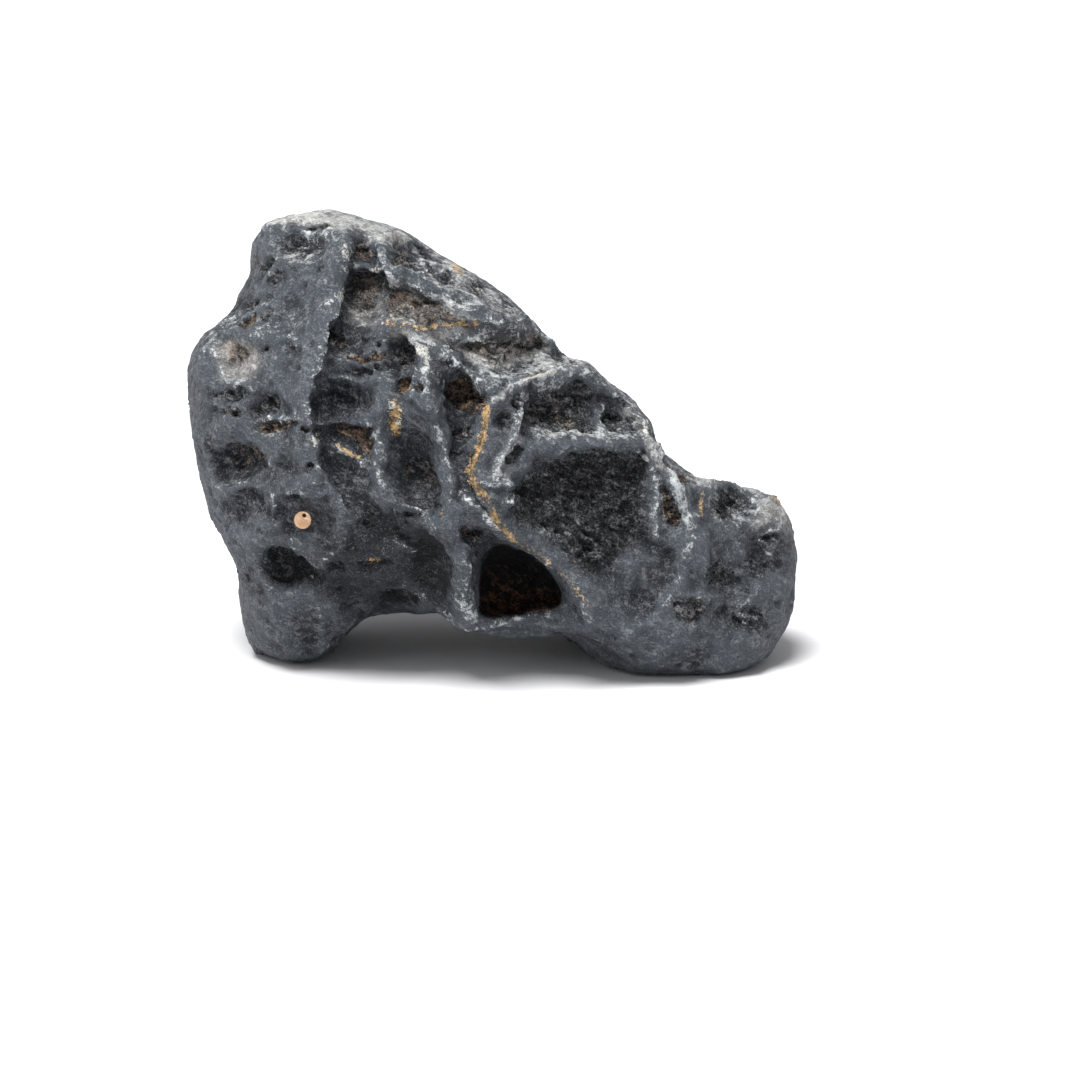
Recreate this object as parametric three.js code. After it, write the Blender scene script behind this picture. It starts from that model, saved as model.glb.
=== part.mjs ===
// A hakkai stone for an aquarium or a table landscape: one blue-black, water-worn piece of rock.
//
// The stone is a long block that tapers from a tall butt on the left to a low snout on the right. It
// stands on two worn feet with a shallow arch between them. Its surface is the zero level of a field
// that is negative inside: broad facets and the outline meet in rounded edges, hollows and ridges are
// laid on them, and the pocket under the rib is scooped out. The level is then meshed in even facets.
//
// Lay-out frame, in millimetres: "across" runs to the right, "up" upwards and "near" towards an eye
// that looks at the front from EYE_HEIGHT above the table. standUpright() turns it to +Z up.

import * as THREE from "three";

// ---- Driving dimensions -------------------------------------------------------------------------

const EYE_HEIGHT = THREE.MathUtils.degToRad(15); // the front is laid out as seen from this angle
const CELL = 6.2; // grid step of the mesher, which sets the size of the facets
const RELAX_ROUNDS = 6; // how often the mesher evens out the facets
const FACET_BLEND = 17; // width of the rounded edge between two facets
const OUTLINE_BLEND = 20; // the same between the outline and the facets
const BARREL = 620; // the outline closes in by depth * depth / BARREL
const SOLE_BLEND = 5; // width of the rounded edge of the worn soles
const SOLE_WEAR = 0.8; // how much the table has worn off the feet
const FRONT_REACH = [62, 0.22]; // depth of the front at the butt, and how fast it drops rightwards
const FRONT_FADE = [0.05, 0.55]; // front forms fade in between these shares of the front's depth
const POCKET_BLEND = 5; // width of the rounded edge of the pocket's mouth
const POCKET_CORNER = 12; // the same between its wall and its floor

// ---- Main forms ---------------------------------------------------------------------------------

// The outline seen from the front, anticlockwise from the crown: [across, up].
const OUTLINE = [
  [-65, 187], [-82, 187.5], [-95, 184], [-101, 175], [-100, 165], [-106, 156], [-111.5, 146],
  [-126, 135], [-130, 122], [-128.5, 101], [-124, 76], [-118, 57], [-108, 38], [-105, 16],
  [-95, -4], [-76, -11], [-62, 8], [-50, 18], [-27, 18], [-12, 10], [0, 8], [14, 10],
  [27, 12], [38, 4], [52, -12], [78, -20], [104, -12], [122, 12], [129, 38], [129, 54],
  [124, 63], [114, 70], [104, 74], [94, 74], [83, 79], [72, 88], [59, 98], [43, 116],
  [30, 128], [19, 139], [10, 150], [2, 156], [-18, 168], [-38, 181],
];

// The broad facets: a point on each and the way it faces, both [across, up, near].
const FACETS = [
  { name: "left face", at: [-90, 115, 58], facing: [-0.42, 0.06, 0.9] },
  { name: "middle face", at: [-38, 98, 74], facing: [0.08, -0.04, 1] },
  { name: "brow", at: [-60, 174, 46], facing: [-0.05, 0.6, 0.8] },
  { name: "upper slope", at: [0, 146, 46], facing: [0.35, 0.55, 0.76] },
  { name: "plate", at: [28, 85, 66], facing: [0.36, -0.02, 0.93] },
  { name: "snout front", at: [100, 60, 36], facing: [0.42, 0.05, 0.9] },
  { name: "belly", at: [-55, 48, 60], facing: [-0.1, -0.66, 0.75] },
  { name: "belly right", at: [30, 14, 56], facing: [0.05, -0.5, 0.86] },
  { name: "left corner", at: [-124, 72, 26], facing: [-0.72, -0.22, 0.66] },
  { name: "crown corner", at: [-102, 170, 30], facing: [-0.6, 0.3, 0.74] },
  { name: "back", at: [-45, 100, -64], facing: [-0.08, 0.06, -1] },
  { name: "back right", at: [60, 75, -50], facing: [0.3, 0.1, -0.95] },
  { name: "back crown", at: [-60, 168, -40], facing: [-0.1, 0.7, -0.72] },
  { name: "back slope", at: [24, 134, -34], facing: [0.45, 0.62, -0.64] },
  { name: "back left", at: [-120, 100, -34], facing: [-0.74, 0.05, -0.67] },
  { name: "back belly", at: [-20, 25, -50], facing: [-0.02, -0.45, -0.9] },
  { name: "snout back", at: [116, 50, -22], facing: [0.7, -0.1, -0.7] },
];

// Fields of the front that lie higher or, with a negative rise, lower than the rest. Each is bounded
// by a line of [across, up] and blends into the rest over its edge width.
const FRONT_FIELDS = [
  {
    name: "plate",
    rise: 7,
    edge: 5.5,
    bounds: [
      [-4, 106], [2, 112], [14, 119], [27, 124], [42, 119], [56, 110], [64, 98], [68, 84],
      [78, 74], [82, 60], [90, 40], [88, 14], [64, 2], [42, 18], [30, 34], [18, 44], [4, 54],
      [-6, 66], [-9, 78], [-7, 92],
    ],
  },
  {
    name: "dark facet of the plate",
    rise: -8,
    edge: 7,
    bounds: [
      [14, 83], [30, 87], [46, 86], [60, 85], [66, 74], [70, 58], [76, 40], [68, 22], [52, 22],
      [42, 34], [32, 43], [20, 52], [12, 60], [10, 72],
    ],
  },
  {
    name: "rough top of the plate",
    rise: -6,
    edge: 6,
    bounds: [[13, 112], [24, 117], [36, 116], [48, 109], [54, 104], [54, 98], [42, 94], [30, 94], [16, 94]],
  },
  {
    name: "triangle",
    rise: -8,
    edge: 5.5,
    bounds: [[-45, 157], [-36, 157], [-22, 150], [-6, 142], [-24, 141], [-46, 143]],
  },
  {
    name: "bowl",
    rise: -8,
    edge: 6.5,
    bounds: [[-20, 133], [-8, 137], [6, 138], [18, 137], [22, 131], [14, 122], [2, 118], [-10, 122]],
  },
  {
    name: "upper band hollow",
    rise: -9,
    edge: 5.5,
    bounds: [[-62, 160], [-54, 163], [-46, 161], [-46, 150], [-48, 141], [-56, 139], [-62, 143]],
  },
  {
    name: "brown pit",
    rise: -8,
    edge: 5,
    bounds: [[-73, 98], [-50, 99], [-49, 91], [-52, 83], [-60, 86], [-68, 92]],
  },
  {
    name: "long hollow",
    rise: -10,
    edge: 7,
    bounds: [
      [-48, 94], [-42, 101], [-33, 100], [-27, 92], [-23, 78], [-23, 66], [-29, 63], [-38, 72],
      [-44, 82],
    ],
  },
];

// Hollows seen on the front: centre [across, up], half sizes, turn in degrees and depth.
const FRONT_HOLLOWS = [
  // Left face
  { at: [-80, 176], size: [14, 8], turn: -8, depth: 6 },
  { at: [-107, 126], size: [14, 14], turn: 0, depth: 6 },
  { at: [-106, 149], size: [12, 9], turn: 40, depth: 4 },
  { at: [-93, 104], size: [13, 9], turn: 0, depth: 6.5 },
  { at: [-107, 82], size: [15, 13], turn: 0, depth: 8 },
  { at: [-104, 63], size: [13, 10], turn: 30, depth: 6 },
  { at: [-113, 108], size: [9, 7], turn: 0, depth: 3 },
  { at: [-84, 148], size: [20, 28], turn: -10, depth: 3 },
  { at: [-77, 58], size: [18, 15], turn: 0, depth: 4 },
  { at: [-84, 40], size: [17, 11], turn: -15, depth: 9 },
  // Middle band
  { at: [-54, 173], size: [8, 9], turn: 0, depth: 5 },
  { at: [-58, 132], size: [15, 9], turn: -10, depth: 6 },
  { at: [-60, 109], size: [16, 12], turn: 0, depth: 7 },
  { at: [-60, 76], size: [14, 18], turn: 20, depth: 6.5 },
  { at: [-40, 128], size: [9, 11], turn: 0, depth: 5 },
  { at: [-37, 115], size: [8, 7], turn: 0, depth: 5 },
  { at: [-46, 56], size: [17, 12], turn: -20, depth: 6 },
  { at: [-40, 27], size: [13, 8], turn: 0, depth: 6 },
  { at: [-60, 30], size: [12, 9], turn: 0, depth: 5 },
  { at: [-27, 44], size: [9, 18], turn: 5, depth: 5 },
  // Upper slope
  { at: [-31, 168], size: [18, 9], turn: -32, depth: 6 },
  { at: [-2, 152], size: [20, 7], turn: -32, depth: 2.5 },
  { at: [28, 128], size: [9, 6], turn: -35, depth: 5 },
  { at: [-13, 111], size: [10, 11], turn: -30, depth: 6 },
  { at: [-15, 92], size: [7, 14], turn: 8, depth: 5 },
  // Plate and snout
  { at: [3, 101], size: [9, 7], turn: 0, depth: 3 },
  { at: [75, 64], size: [7, 12], turn: -12, depth: 5.5 },
  { at: [73, 88], size: [5, 12], turn: 28, depth: 6 },
  { at: [101, 66], size: [13, 10], turn: -8, depth: 7 },
  { at: [-9, 51], size: [8, 6], turn: -25, depth: 8 },
  { at: [112, 46], size: [14, 8], turn: -30, depth: 4 },
  { at: [92, 26], size: [20, 16], turn: -20, depth: 5 },
];

// Ridges and, with a negative rise, valleys seen on the front: a line of [across, up], half width
// and rise.
const FRONT_LINES = [
  {
    name: "keel",
    along: [[-64, 176], [-63, 163], [-66, 147], [-71, 132], [-76, 115], [-77, 98], [-72, 82], [-62, 62]],
    width: 8,
    rise: 4.5,
  },
  {
    name: "valley right of the keel",
    along: [[-54, 164], [-55, 146], [-57, 128], [-60, 108], [-60, 88], [-54, 68]],
    width: 15,
    rise: -4,
  },
  {
    name: "valley left of the plate",
    along: [[-13, 114], [-15, 98], [-15, 82], [-12, 68]],
    width: 9,
    rise: -5,
  },
  { name: "crown fork", along: [[-58, 176], [-55, 165], [-47, 164], [-42, 160]], width: 5.5, rise: 3.5 },
  {
    name: "long crest",
    along: [[-48, 172], [-45, 163], [-33, 159], [-20, 152], [-5, 145], [8, 142]],
    width: 6.5,
    rise: 4.5,
  },
  {
    name: "smooth band",
    along: [[-46, 138], [-28, 137], [-12, 140], [8, 142], [22, 137], [38, 123]],
    width: 7,
    rise: 4.5,
  },
  { name: "star", along: [[-31, 136], [-29, 118], [-24, 104]], width: 8, rise: 4.5 },
  { name: "nose", along: [[-26, 106], [-20, 86], [-18, 66], [-15, 45], [-12, 18]], width: 10, rise: 8 },
  { name: "diagonal", along: [[-26, 128], [-12, 119], [-1, 113]], width: 6.5, rise: 4.5 },
  {
    name: "plate brow",
    along: [[-6, 92], [-3, 107], [8, 115], [22, 121], [34, 121], [52, 111], [62, 100]],
    width: 7,
    rise: 3.5,
  },
  {
    name: "plate edge",
    along: [[62, 100], [66, 89], [75, 79], [80, 62], [88, 44], [88, 24]],
    width: 7,
    rise: 4,
  },
  { name: "saddle", along: [[12, 86], [30, 91], [46, 90], [58, 88], [66, 88]], width: 7, rise: 2.5 },
  { name: "rib", along: [[-9, 70], [-3, 59], [8, 51], [20, 44], [31, 33], [42, 22]], width: 6.5, rise: 4 },
  { name: "belly lip", along: [[-12, 20], [4, 14], [20, 14], [40, 17]], width: 6, rise: 3 },
  { name: "snout crest", along: [[86, 74], [104, 74], [120, 66]], width: 7, rise: 3 },
];

// Hollows on the other sides: centre [across, up, near], reach and depth.
const OTHER_HOLLOWS = [
  { at: [-88, 132, -62], reach: 28, depth: 10 },
  { at: [-40, 118, -70], reach: 32, depth: 12 },
  { at: [-66, 78, -66], reach: 26, depth: 10 },
  { at: [-10, 78, -66], reach: 30, depth: 11 },
  { at: [24, 104, -52], reach: 24, depth: 9 },
  { at: [52, 70, -52], reach: 26, depth: 9 },
  { at: [92, 44, -40], reach: 24, depth: 8 },
  { at: [-30, 158, -46], reach: 22, depth: 8 },
  { at: [-104, 92, -48], reach: 22, depth: 8 },
  { at: [-134, 96, -20], reach: 24, depth: 6 },
  { at: [-96, 44, -34], reach: 24, depth: 7 },
  { at: [-34, 186, -26], reach: 22, depth: 7 },
  { at: [10, 152, -28], reach: 20, depth: 6 },
  { at: [52, 118, -26], reach: 20, depth: 6 },
  { at: [94, 78, -24], reach: 20, depth: 5 },
  { at: [-10, 8, -16], reach: 30, depth: 7 },
  { at: [-44, 12, 24], reach: 22, depth: 5 },
  { at: [20, 18, -48], reach: 26, depth: 8 },
];

// Ridges on the other sides: a line of [across, up, near], half width and height.
const OTHER_RIDGES = [
  {
    name: "back spine",
    along: [[-96, 158, -50], [-64, 104, -72], [-36, 74, -70], [-6, 40, -58]],
    width: 16,
    height: 6,
  },
  {
    name: "back shoulder",
    along: [[-36, 148, -56], [4, 116, -58], [44, 92, -52], [84, 66, -42]],
    width: 14,
    height: 6,
  },
  {
    name: "crown seam",
    along: [[-70, 192, 6], [-48, 188, -16], [-16, 168, -30]],
    width: 12,
    height: 3,
  },
];

// The pocket under the rib: its mouth seen from the front, its floor's depth and how fast it narrows.
const POCKET_MOUTH = [
  [-2, 50], [7, 51], [15, 49], [24, 42], [31, 33], [33, 25], [28, 20], [16, 17], [2, 17],
  [-6, 20], [-9, 30], [-7, 41],
];
const POCKET_FLOOR = 22;
const POCKET_TAPER = 0.16;
const POCKET_FULL_SIZE_AT = 58;

// The arch between the feet runs straight through from front to back.
const ARCH = { across: -26, halfWidth: 37, top: 21, springing: -6, blend: 10 };

// ---- The field ----------------------------------------------------------------------------------

const clamp01 = (x) => Math.min(1, Math.max(0, x));

const smoothStep = ([from, to], x) => {
  const t = clamp01((x - from) / (to - from));
  return t * t * (3 - 2 * t);
};

const smoothMax = (a, b, blend) => {
  const overlap = Math.max(blend - Math.abs(a - b), 0) / blend;
  return Math.max(a, b) + (overlap * overlap * blend) / 4;
};

// 1 at the middle of a form, 0 at its rim and beyond; share is the distance over the form's reach.
const dome = (share) => (share >= 1 ? 0 : (1 - share * share) ** 2);

function facetDistance({ at, facing }) {
  const normal = new THREE.Vector3(...facing).normalize();
  const offset = normal.dot(new THREE.Vector3(...at));
  return (x, y, z) => normal.x * x + normal.y * y + normal.z * z - offset;
}

// Distance to a smooth closed line through the points, negative inside it.
function closedLineDistance(points, steps) {
  const corners = points.map(([x, y]) => new THREE.Vector3(x, y, 0));
  const line = new THREE.CatmullRomCurve3(corners, true, "centripetal").getPoints(steps);
  return (x, y) => {
    let nearest = Infinity;
    let inside = false;
    for (let i = 1; i < line.length; i++) {
      const from = line[i - 1];
      const to = line[i];
      const dx = to.x - from.x;
      const dy = to.y - from.y;
      const t = clamp01(((x - from.x) * dx + (y - from.y) * dy) / (dx * dx + dy * dy));
      nearest = Math.min(nearest, Math.hypot(x - from.x - t * dx, y - from.y - t * dy));
      if (from.y > y !== to.y > y && x < from.x + ((y - from.y) / dy) * dx) inside = !inside;
    }
    return inside ? -nearest : nearest;
  };
}

// Distance from a point to an open line of points, [across, up] or [across, up, near].
function lineDistance(x, y, z, along) {
  let nearest = Infinity;
  for (let i = 1; i < along.length; i++) {
    const [fromX, fromY, fromZ = z] = along[i - 1];
    const [toX, toY, toZ = z] = along[i];
    const dx = toX - fromX;
    const dy = toY - fromY;
    const dz = toZ - fromZ;
    const dot = (x - fromX) * dx + (y - fromY) * dy + (z - fromZ) * dz;
    const t = clamp01(dot / (dx * dx + dy * dy + dz * dz));
    const missX = x - fromX - t * dx;
    const missY = y - fromY - t * dy;
    const missZ = z - fromZ - t * dz;
    nearest = Math.min(nearest, missX * missX + missY * missY + missZ * missZ);
  }
  return Math.sqrt(nearest);
}

function frontHollow({ at, size, turn, depth }) {
  const angle = THREE.MathUtils.degToRad(turn);
  const cos = Math.cos(angle);
  const sin = Math.sin(angle);
  return (x, y) => {
    const dx = x - at[0];
    const dy = y - at[1];
    return depth * dome(Math.hypot((dx * cos + dy * sin) / size[0], (dy * cos - dx * sin) / size[1]));
  };
}

// Distance to a straight-sided closed line would kink at its corners, so the fields use a smooth one.
function frontField({ rise, edge, bounds }) {
  const distance = closedLineDistance(bounds, 2 * bounds.length);
  const reachX = bounds.map(([x]) => x);
  const reachY = bounds.map(([, y]) => y);
  const low = [Math.min(...reachX) - edge, Math.min(...reachY) - edge];
  const high = [Math.max(...reachX) + edge, Math.max(...reachY) + edge];
  return (x, y) => {
    if (x < low[0] || x > high[0] || y < low[1] || y > high[1]) return 0;
    return -rise * (1 - smoothStep([-edge, edge], distance(x, y)));
  };
}

const facets = FACETS.map(facetDistance);
const frontFields = FRONT_FIELDS.map(frontField);
const frontHollows = FRONT_HOLLOWS.map(frontHollow);
const outlineDistance = closedLineDistance(OUTLINE, 4 * OUTLINE.length);
const pocketDistance = closedLineDistance(POCKET_MOUTH, 3 * POCKET_MOUTH.length);
const soleDistance = facetDistance({
  at: [0, 0, 0],
  facing: [0, -Math.cos(EYE_HEIGHT), -Math.sin(EYE_HEIGHT)],
});

function block(x, y, z) {
  const faceted = facets.map((facet) => facet(x, y, z)).reduce((a, b) => smoothMax(a, b, FACET_BLEND));
  return smoothMax(faceted, outlineDistance(x, y) + (z * z) / BARREL, OUTLINE_BLEND);
}

// How far the surface lies under the block's: hollows count up, ridges count down.
function relief(x, y, z) {
  let sunk = 0;
  for (const { at, reach, depth } of OTHER_HOLLOWS) {
    sunk += depth * dome(Math.hypot(x - at[0], y - at[1], z - at[2]) / reach);
  }
  for (const { along, width, height } of OTHER_RIDGES) {
    sunk -= height * dome(lineDistance(x, y, z, along) / width);
  }
  const fade = smoothStep(FRONT_FADE, z / (FRONT_REACH[0] - FRONT_REACH[1] * Math.max(0, x)));
  if (fade === 0) return sunk;
  for (const sunkAt of [...frontFields, ...frontHollows]) sunk += fade * sunkAt(x, y);
  for (const { along, width, rise } of FRONT_LINES) {
    sunk -= fade * rise * dome(lineDistance(x, y, z, along) / width);
  }
  return sunk;
}

function archDistance(x, y, z) {
  const height = y * Math.cos(EYE_HEIGHT) + z * Math.sin(EYE_HEIGHT);
  const rise = ARCH.top - ARCH.springing;
  const share = Math.hypot((x - ARCH.across) / ARCH.halfWidth, (height - ARCH.springing) / rise);
  return (share - 1) * rise;
}

function field(x, y, z) {
  const carved = smoothMax(block(x, y, z) + relief(x, y, z), -archDistance(x, y, z), ARCH.blend);
  const narrowing = POCKET_TAPER * (POCKET_FULL_SIZE_AT - z);
  const pocket = smoothMax(pocketDistance(x, y) + narrowing, POCKET_FLOOR - z, POCKET_CORNER);
  return smoothMax(smoothMax(carved, -pocket, POCKET_BLEND), soleDistance(x, y, z), SOLE_BLEND);
}

function gradient(x, y, z, value) {
  const h = 0.4;
  return [
    (field(x + h, y, z) - value) / h,
    (field(x, y + h, z) - value) / h,
    (field(x, y, z + h) - value) / h,
  ];
}

// ---- Meshing ------------------------------------------------------------------------------------

// Surface nets: one vertex in each grid cell that the surface crosses, one quad round each grid edge
// that it crosses. Returns { points: [[x, y, z]], quads: [[a, b, c, d]] } with the faces pointing out.
function meshField(low, high, step) {
  const counts = low.map((value, k) => Math.ceil((high[k] - value) / step) + 1);
  const strides = [1, counts[0], counts[0] * counts[1]];
  const corner = (i, j, k) => i + j * strides[1] + k * strides[2];
  const values = new Float64Array(counts[0] * counts[1] * counts[2]);
  for (let k = 0; k < counts[2]; k++)
    for (let j = 0; j < counts[1]; j++)
      for (let i = 0; i < counts[0]; i++)
        values[corner(i, j, k)] = field(low[0] + i * step, low[1] + j * step, low[2] + k * step);

  separateSheets(values, counts, strides);

  const points = [];
  const vertexOf = new Int32Array(values.length).fill(-1);
  for (let k = 0; k < counts[2] - 1; k++)
    for (let j = 0; j < counts[1] - 1; j++)
      for (let i = 0; i < counts[0] - 1; i++) {
        const sum = [0, 0, 0];
        let crossings = 0;
        for (let axis = 0; axis < 3; axis++)
          for (let side = 0; side < 4; side++) {
            const at = [0, 0, 0];
            at[(axis + 1) % 3] = side & 1;
            at[(axis + 2) % 3] = side >> 1;
            const start = corner(i + at[0], j + at[1], k + at[2]);
            const here = values[start];
            const there = values[start + strides[axis]];
            if (here < 0 === there < 0) continue;
            at[axis] = here / (here - there);
            crossings++;
            [i, j, k].forEach((cell, n) => (sum[n] += cell + at[n]));
          }
        if (!crossings) continue;
        vertexOf[corner(i, j, k)] = points.length;
        points.push(sum.map((value, n) => low[n] + (value / crossings) * step));
      }

  const quads = [];
  for (let k = 1; k < counts[2] - 1; k++)
    for (let j = 1; j < counts[1] - 1; j++)
      for (let i = 1; i < counts[0] - 1; i++)
        for (let axis = 0; axis < 3; axis++) {
          const start = corner(i, j, k);
          const inside = values[start] < 0;
          if (inside === values[start + strides[axis]] < 0) continue;
          const u = strides[(axis + 1) % 3];
          const v = strides[(axis + 2) % 3];
          const ring = [start, start - u, start - u - v, start - v].map((cell) => vertexOf[cell]);
          quads.push(inside ? ring : ring.reverse());
        }
  return { points, quads };
}

// Where two sheets of the surface would touch inside one cell, the corner that lies nearest the
// surface changes side, so that every cell holds one sheet at most and the mesh stays closed.
function separateSheets(values, counts, strides) {
  const corners = [0, 1, 2, 3, 4, 5, 6, 7];
  const stepTo = (c) => (c & 1) * strides[0] + ((c >> 1) & 1) * strides[1] + (c >> 2) * strides[2];
  const cube = corners.map(stepTo);
  const inOnePiece = (members) => {
    const reached = members.slice(0, 1);
    for (const from of reached)
      for (const to of members)
        if ([1, 2, 4].includes(from ^ to) && !reached.includes(to)) reached.push(to);
    return reached.length === members.length;
  };
  for (let changed = 1; changed; ) {
    changed = 0;
    for (let k = 0; k < counts[2] - 1; k++)
      for (let j = 0; j < counts[1] - 1; j++)
        for (let i = 0; i < counts[0] - 1; i++) {
          const start = i + j * strides[1] + k * strides[2];
          const isInside = (c) => values[start + cube[c]] < 0;
          const inside = corners.filter(isInside);
          const outside = corners.filter((c) => !isInside(c));
          if (inOnePiece(inside) && inOnePiece(outside)) continue;
          const size = (c) => Math.abs(values[start + cube[c]]);
          const nearest = corners.reduce((best, c) => (size(c) < size(best) ? c : best));
          values[start + cube[nearest]] *= -1;
          changed++;
        }
  }
}

// Evens out the facets: each vertex moves to the middle of its neighbours, then back to the surface.
function relax({ points, quads }, rounds) {
  const neighbours = points.map(() => new Set());
  for (const quad of quads)
    quad.forEach((vertex, n) => {
      neighbours[vertex].add(quad[(n + 1) % 4]);
      neighbours[vertex].add(quad[(n + 3) % 4]);
    });
  for (let round = 0; round < rounds; round++) {
    const middles = neighbours.map((set) => {
      const sum = [0, 0, 0];
      for (const other of set) points[other].forEach((value, n) => (sum[n] += value / set.size));
      return sum;
    });
    middles.forEach((middle, vertex) => (points[vertex] = ontoSurface(middle)));
  }
}

function ontoSurface(point) {
  let [x, y, z] = point;
  for (let pass = 0; pass < 2; pass++) {
    const value = field(x, y, z);
    const slope = gradient(x, y, z, value);
    const steepness = Math.max(0.25, slope[0] ** 2 + slope[1] ** 2 + slope[2] ** 2);
    const move = Math.max(-CELL / 3, Math.min(CELL / 3, value / steepness));
    x -= move * slope[0];
    y -= move * slope[1];
    z -= move * slope[2];
  }
  return [x, y, z];
}

// Cuts each quad in two along the diagonal whose middle lies nearer the surface, so ridges stay sharp.
function trianglesOf({ points, quads }) {
  const missBetween = (p, q) => Math.abs(field(...points[p].map((value, n) => (value + points[q][n]) / 2)));
  return quads.flatMap(([a, b, c, d]) =>
    missBetween(a, c) < missBetween(b, d) ? [a, b, c, a, c, d] : [b, c, d, b, d, a],
  );
}

// From the lay-out frame to +Z up with the front towards -Y, soles cut flat at Z = 0, origin centred
// under the stone.
function standUpright(geometry) {
  geometry.rotateX(Math.PI / 2 - EYE_HEIGHT);
  geometry.translate(0, 0, -SOLE_WEAR);
  const position = geometry.getAttribute("position");
  for (let i = 0; i < position.count; i++) position.setZ(i, Math.max(0, position.getZ(i)));
  geometry.computeBoundingBox();
  const centre = geometry.boundingBox.getCenter(new THREE.Vector3());
  geometry.translate(-centre.x, -centre.y, 0);
}

function stoneGeometry() {
  const net = meshField([-142, -32, -84], [142, 204, 92], CELL);
  relax(net, RELAX_ROUNDS);
  const geometry = new THREE.BufferGeometry();
  geometry.setAttribute("position", new THREE.Float32BufferAttribute(net.points.flat(), 3));
  geometry.setIndex(trianglesOf(net));
  standUpright(geometry);
  geometry.computeVertexNormals();
  return geometry;
}

// ---- The stone ----------------------------------------------------------------------------------

const stone = new THREE.Mesh(
  stoneGeometry(),
  new THREE.MeshStandardMaterial({ color: 0x41464d, roughness: 0.72, metalness: 0 }),
);
stone.name = "stone";

const part = new THREE.Group();
part.name = "hakkai_stone";
part.add(stone);

export default part;
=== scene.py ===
"""Looks of the hakkai stone: a fine, water-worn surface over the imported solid, on a pale floor."""

import math

import bmesh
import bpy
import numpy as np
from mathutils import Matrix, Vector
from mathutils.kdtree import KDTree


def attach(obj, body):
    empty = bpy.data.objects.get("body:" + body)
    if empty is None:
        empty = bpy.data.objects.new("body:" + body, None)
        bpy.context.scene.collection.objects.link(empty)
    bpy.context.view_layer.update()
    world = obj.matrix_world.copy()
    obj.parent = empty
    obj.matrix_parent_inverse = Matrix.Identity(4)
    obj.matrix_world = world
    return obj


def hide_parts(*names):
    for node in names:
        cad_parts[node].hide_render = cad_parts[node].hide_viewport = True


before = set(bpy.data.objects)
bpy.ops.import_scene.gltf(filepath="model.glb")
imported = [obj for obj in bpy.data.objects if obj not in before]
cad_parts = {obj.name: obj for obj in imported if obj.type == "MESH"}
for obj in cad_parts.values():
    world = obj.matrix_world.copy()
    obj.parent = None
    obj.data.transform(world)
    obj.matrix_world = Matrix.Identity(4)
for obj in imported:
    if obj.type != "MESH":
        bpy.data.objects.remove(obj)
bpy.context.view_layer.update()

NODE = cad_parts["stone"]
MM = 0.001

# ---- Lay-out frame -----------------------------------------------------------
# The front is laid out in millimetres as "across" (right), "up" and "near", seen from EYE_HEIGHT
# above the table. LAYOUT_SHIFT is what takes the shared frame to it before the tilt.

EYE_HEIGHT = math.radians(15)
LAYOUT_SHIFT = np.array([-1.04, 19.53, 0.8])
ACROSS = np.array([1.0, 0.0, 0.0])
UP = np.array([0.0, math.sin(EYE_HEIGHT), math.cos(EYE_HEIGHT)])
NEAR = np.array([0.0, -math.cos(EYE_HEIGHT), math.sin(EYE_HEIGHT)])

# ---- Camera and studio -------------------------------------------------------

FRAME_CENTRE = (19.3, 51.2)  # middle of the view, across and up in mm
FRAME_WIDTH = 0.4536  # what the camera sees across at the stone
LENS, SENSOR = 150.0, 36.0
EYE_DISTANCE = FRAME_WIDTH * LENS / SENSOR
CLIP_END = 30.0
FLOOR_SIZE = 24.0
FLOOR_SHADE = 0.75
WORLD_LIGHT = 0.42  # strength of the even light from all sides
BACKDROP = 1.0  # the same as the camera sees it behind the stone
SUNS = (  # name, where it shines to, strength, softness in degrees
    ("overhead", (0.2, 0.22, -1.0), 5.0, 30),
    ("left", (1.0, 0.6, -0.7), 0.4, 40),
)

# ---- Fine surface ------------------------------------------------------------
# Sizes, depths and reaches are in millimetres unless they say otherwise.

VOXEL = 0.85 * MM
WELD = 1e-6  # corners of facets that are closer than this, in metres, are one
MOST_TRIANGLES = 194000
SEED = 71
LINE_PARTS = 4  # pieces that the stretch between two listed points is cut into
FRONT_FACING = (0.02, 0.3)  # how much a point faces the eye where the lay-out begins and is full
FRONT_NEAR = (0, 14)  # how near it is where the lay-out begins and is full
WAVER = ((14.0, 1.8), (6.0, 1.2), (2.6, 0.7))  # size and amount by which laid-out lines waver
FINE_WAVER = ((4.0, 0.5),)  # the same for veins
PATCH_WAVER = ((3.0, 0.8),)  # the same for pale patches
APRON = 0.5  # how far the surface around a hollow sags towards it, as a share of its depth
APRON_REACH, APRON_SPREAD = 3.0, 1.6  # how far out it sags, and how much farther per mm of depth
CREST_HEIGHT = 1.0  # share of the listed height that the crests have on average
CREST_WIDTH = 0.95  # share of the listed half width
CREST_PALENESS = 4.4  # how far from its line a crest is pale
SCALLOPS = ((15.0, 2.1), (8.5, 1.4))  # size and depth of the scallops of the front
WARP = (15.0, 4)  # size and amount by which their borders bend
BACK_SCALLOPS = ((25.0, 7.0, 0.75), (12.0, 2.6, 0.35))  # elsewhere, and how pale their borders are
BACK_WARP = (16.0, 5)
SMALL_WARP = (6.0, 1.5)  # added to both
MEAN_CELL = 0.4  # taken off the squared distance to a seed, so that cells go down and up
BACK_PITS = (320, (1.8, 7.0), (0.16, 0.42))  # number, sizes, and depths as shares of the size
FINE_PITS = (900, (0.9, 2.8), (0.25, 0.5))
DEEP_PIT = 1.6  # depth from which a pit counts in full as broken ground
UNEVENNESS = {  # height of each pattern on worn ground, and how much more where it is broken
    "broad": (1.6, 0.0),
    "small": (0.35, 1.5),
    "crumbs": (0.25, 1.9),
    "streaks": (0.0, 2.5),
}
MOUTH_EDGE = 2.2  # width of the wall inside the pocket's mouth
MOUTH_DEPTH = 3.0  # how far the ground inside it is set back
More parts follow.
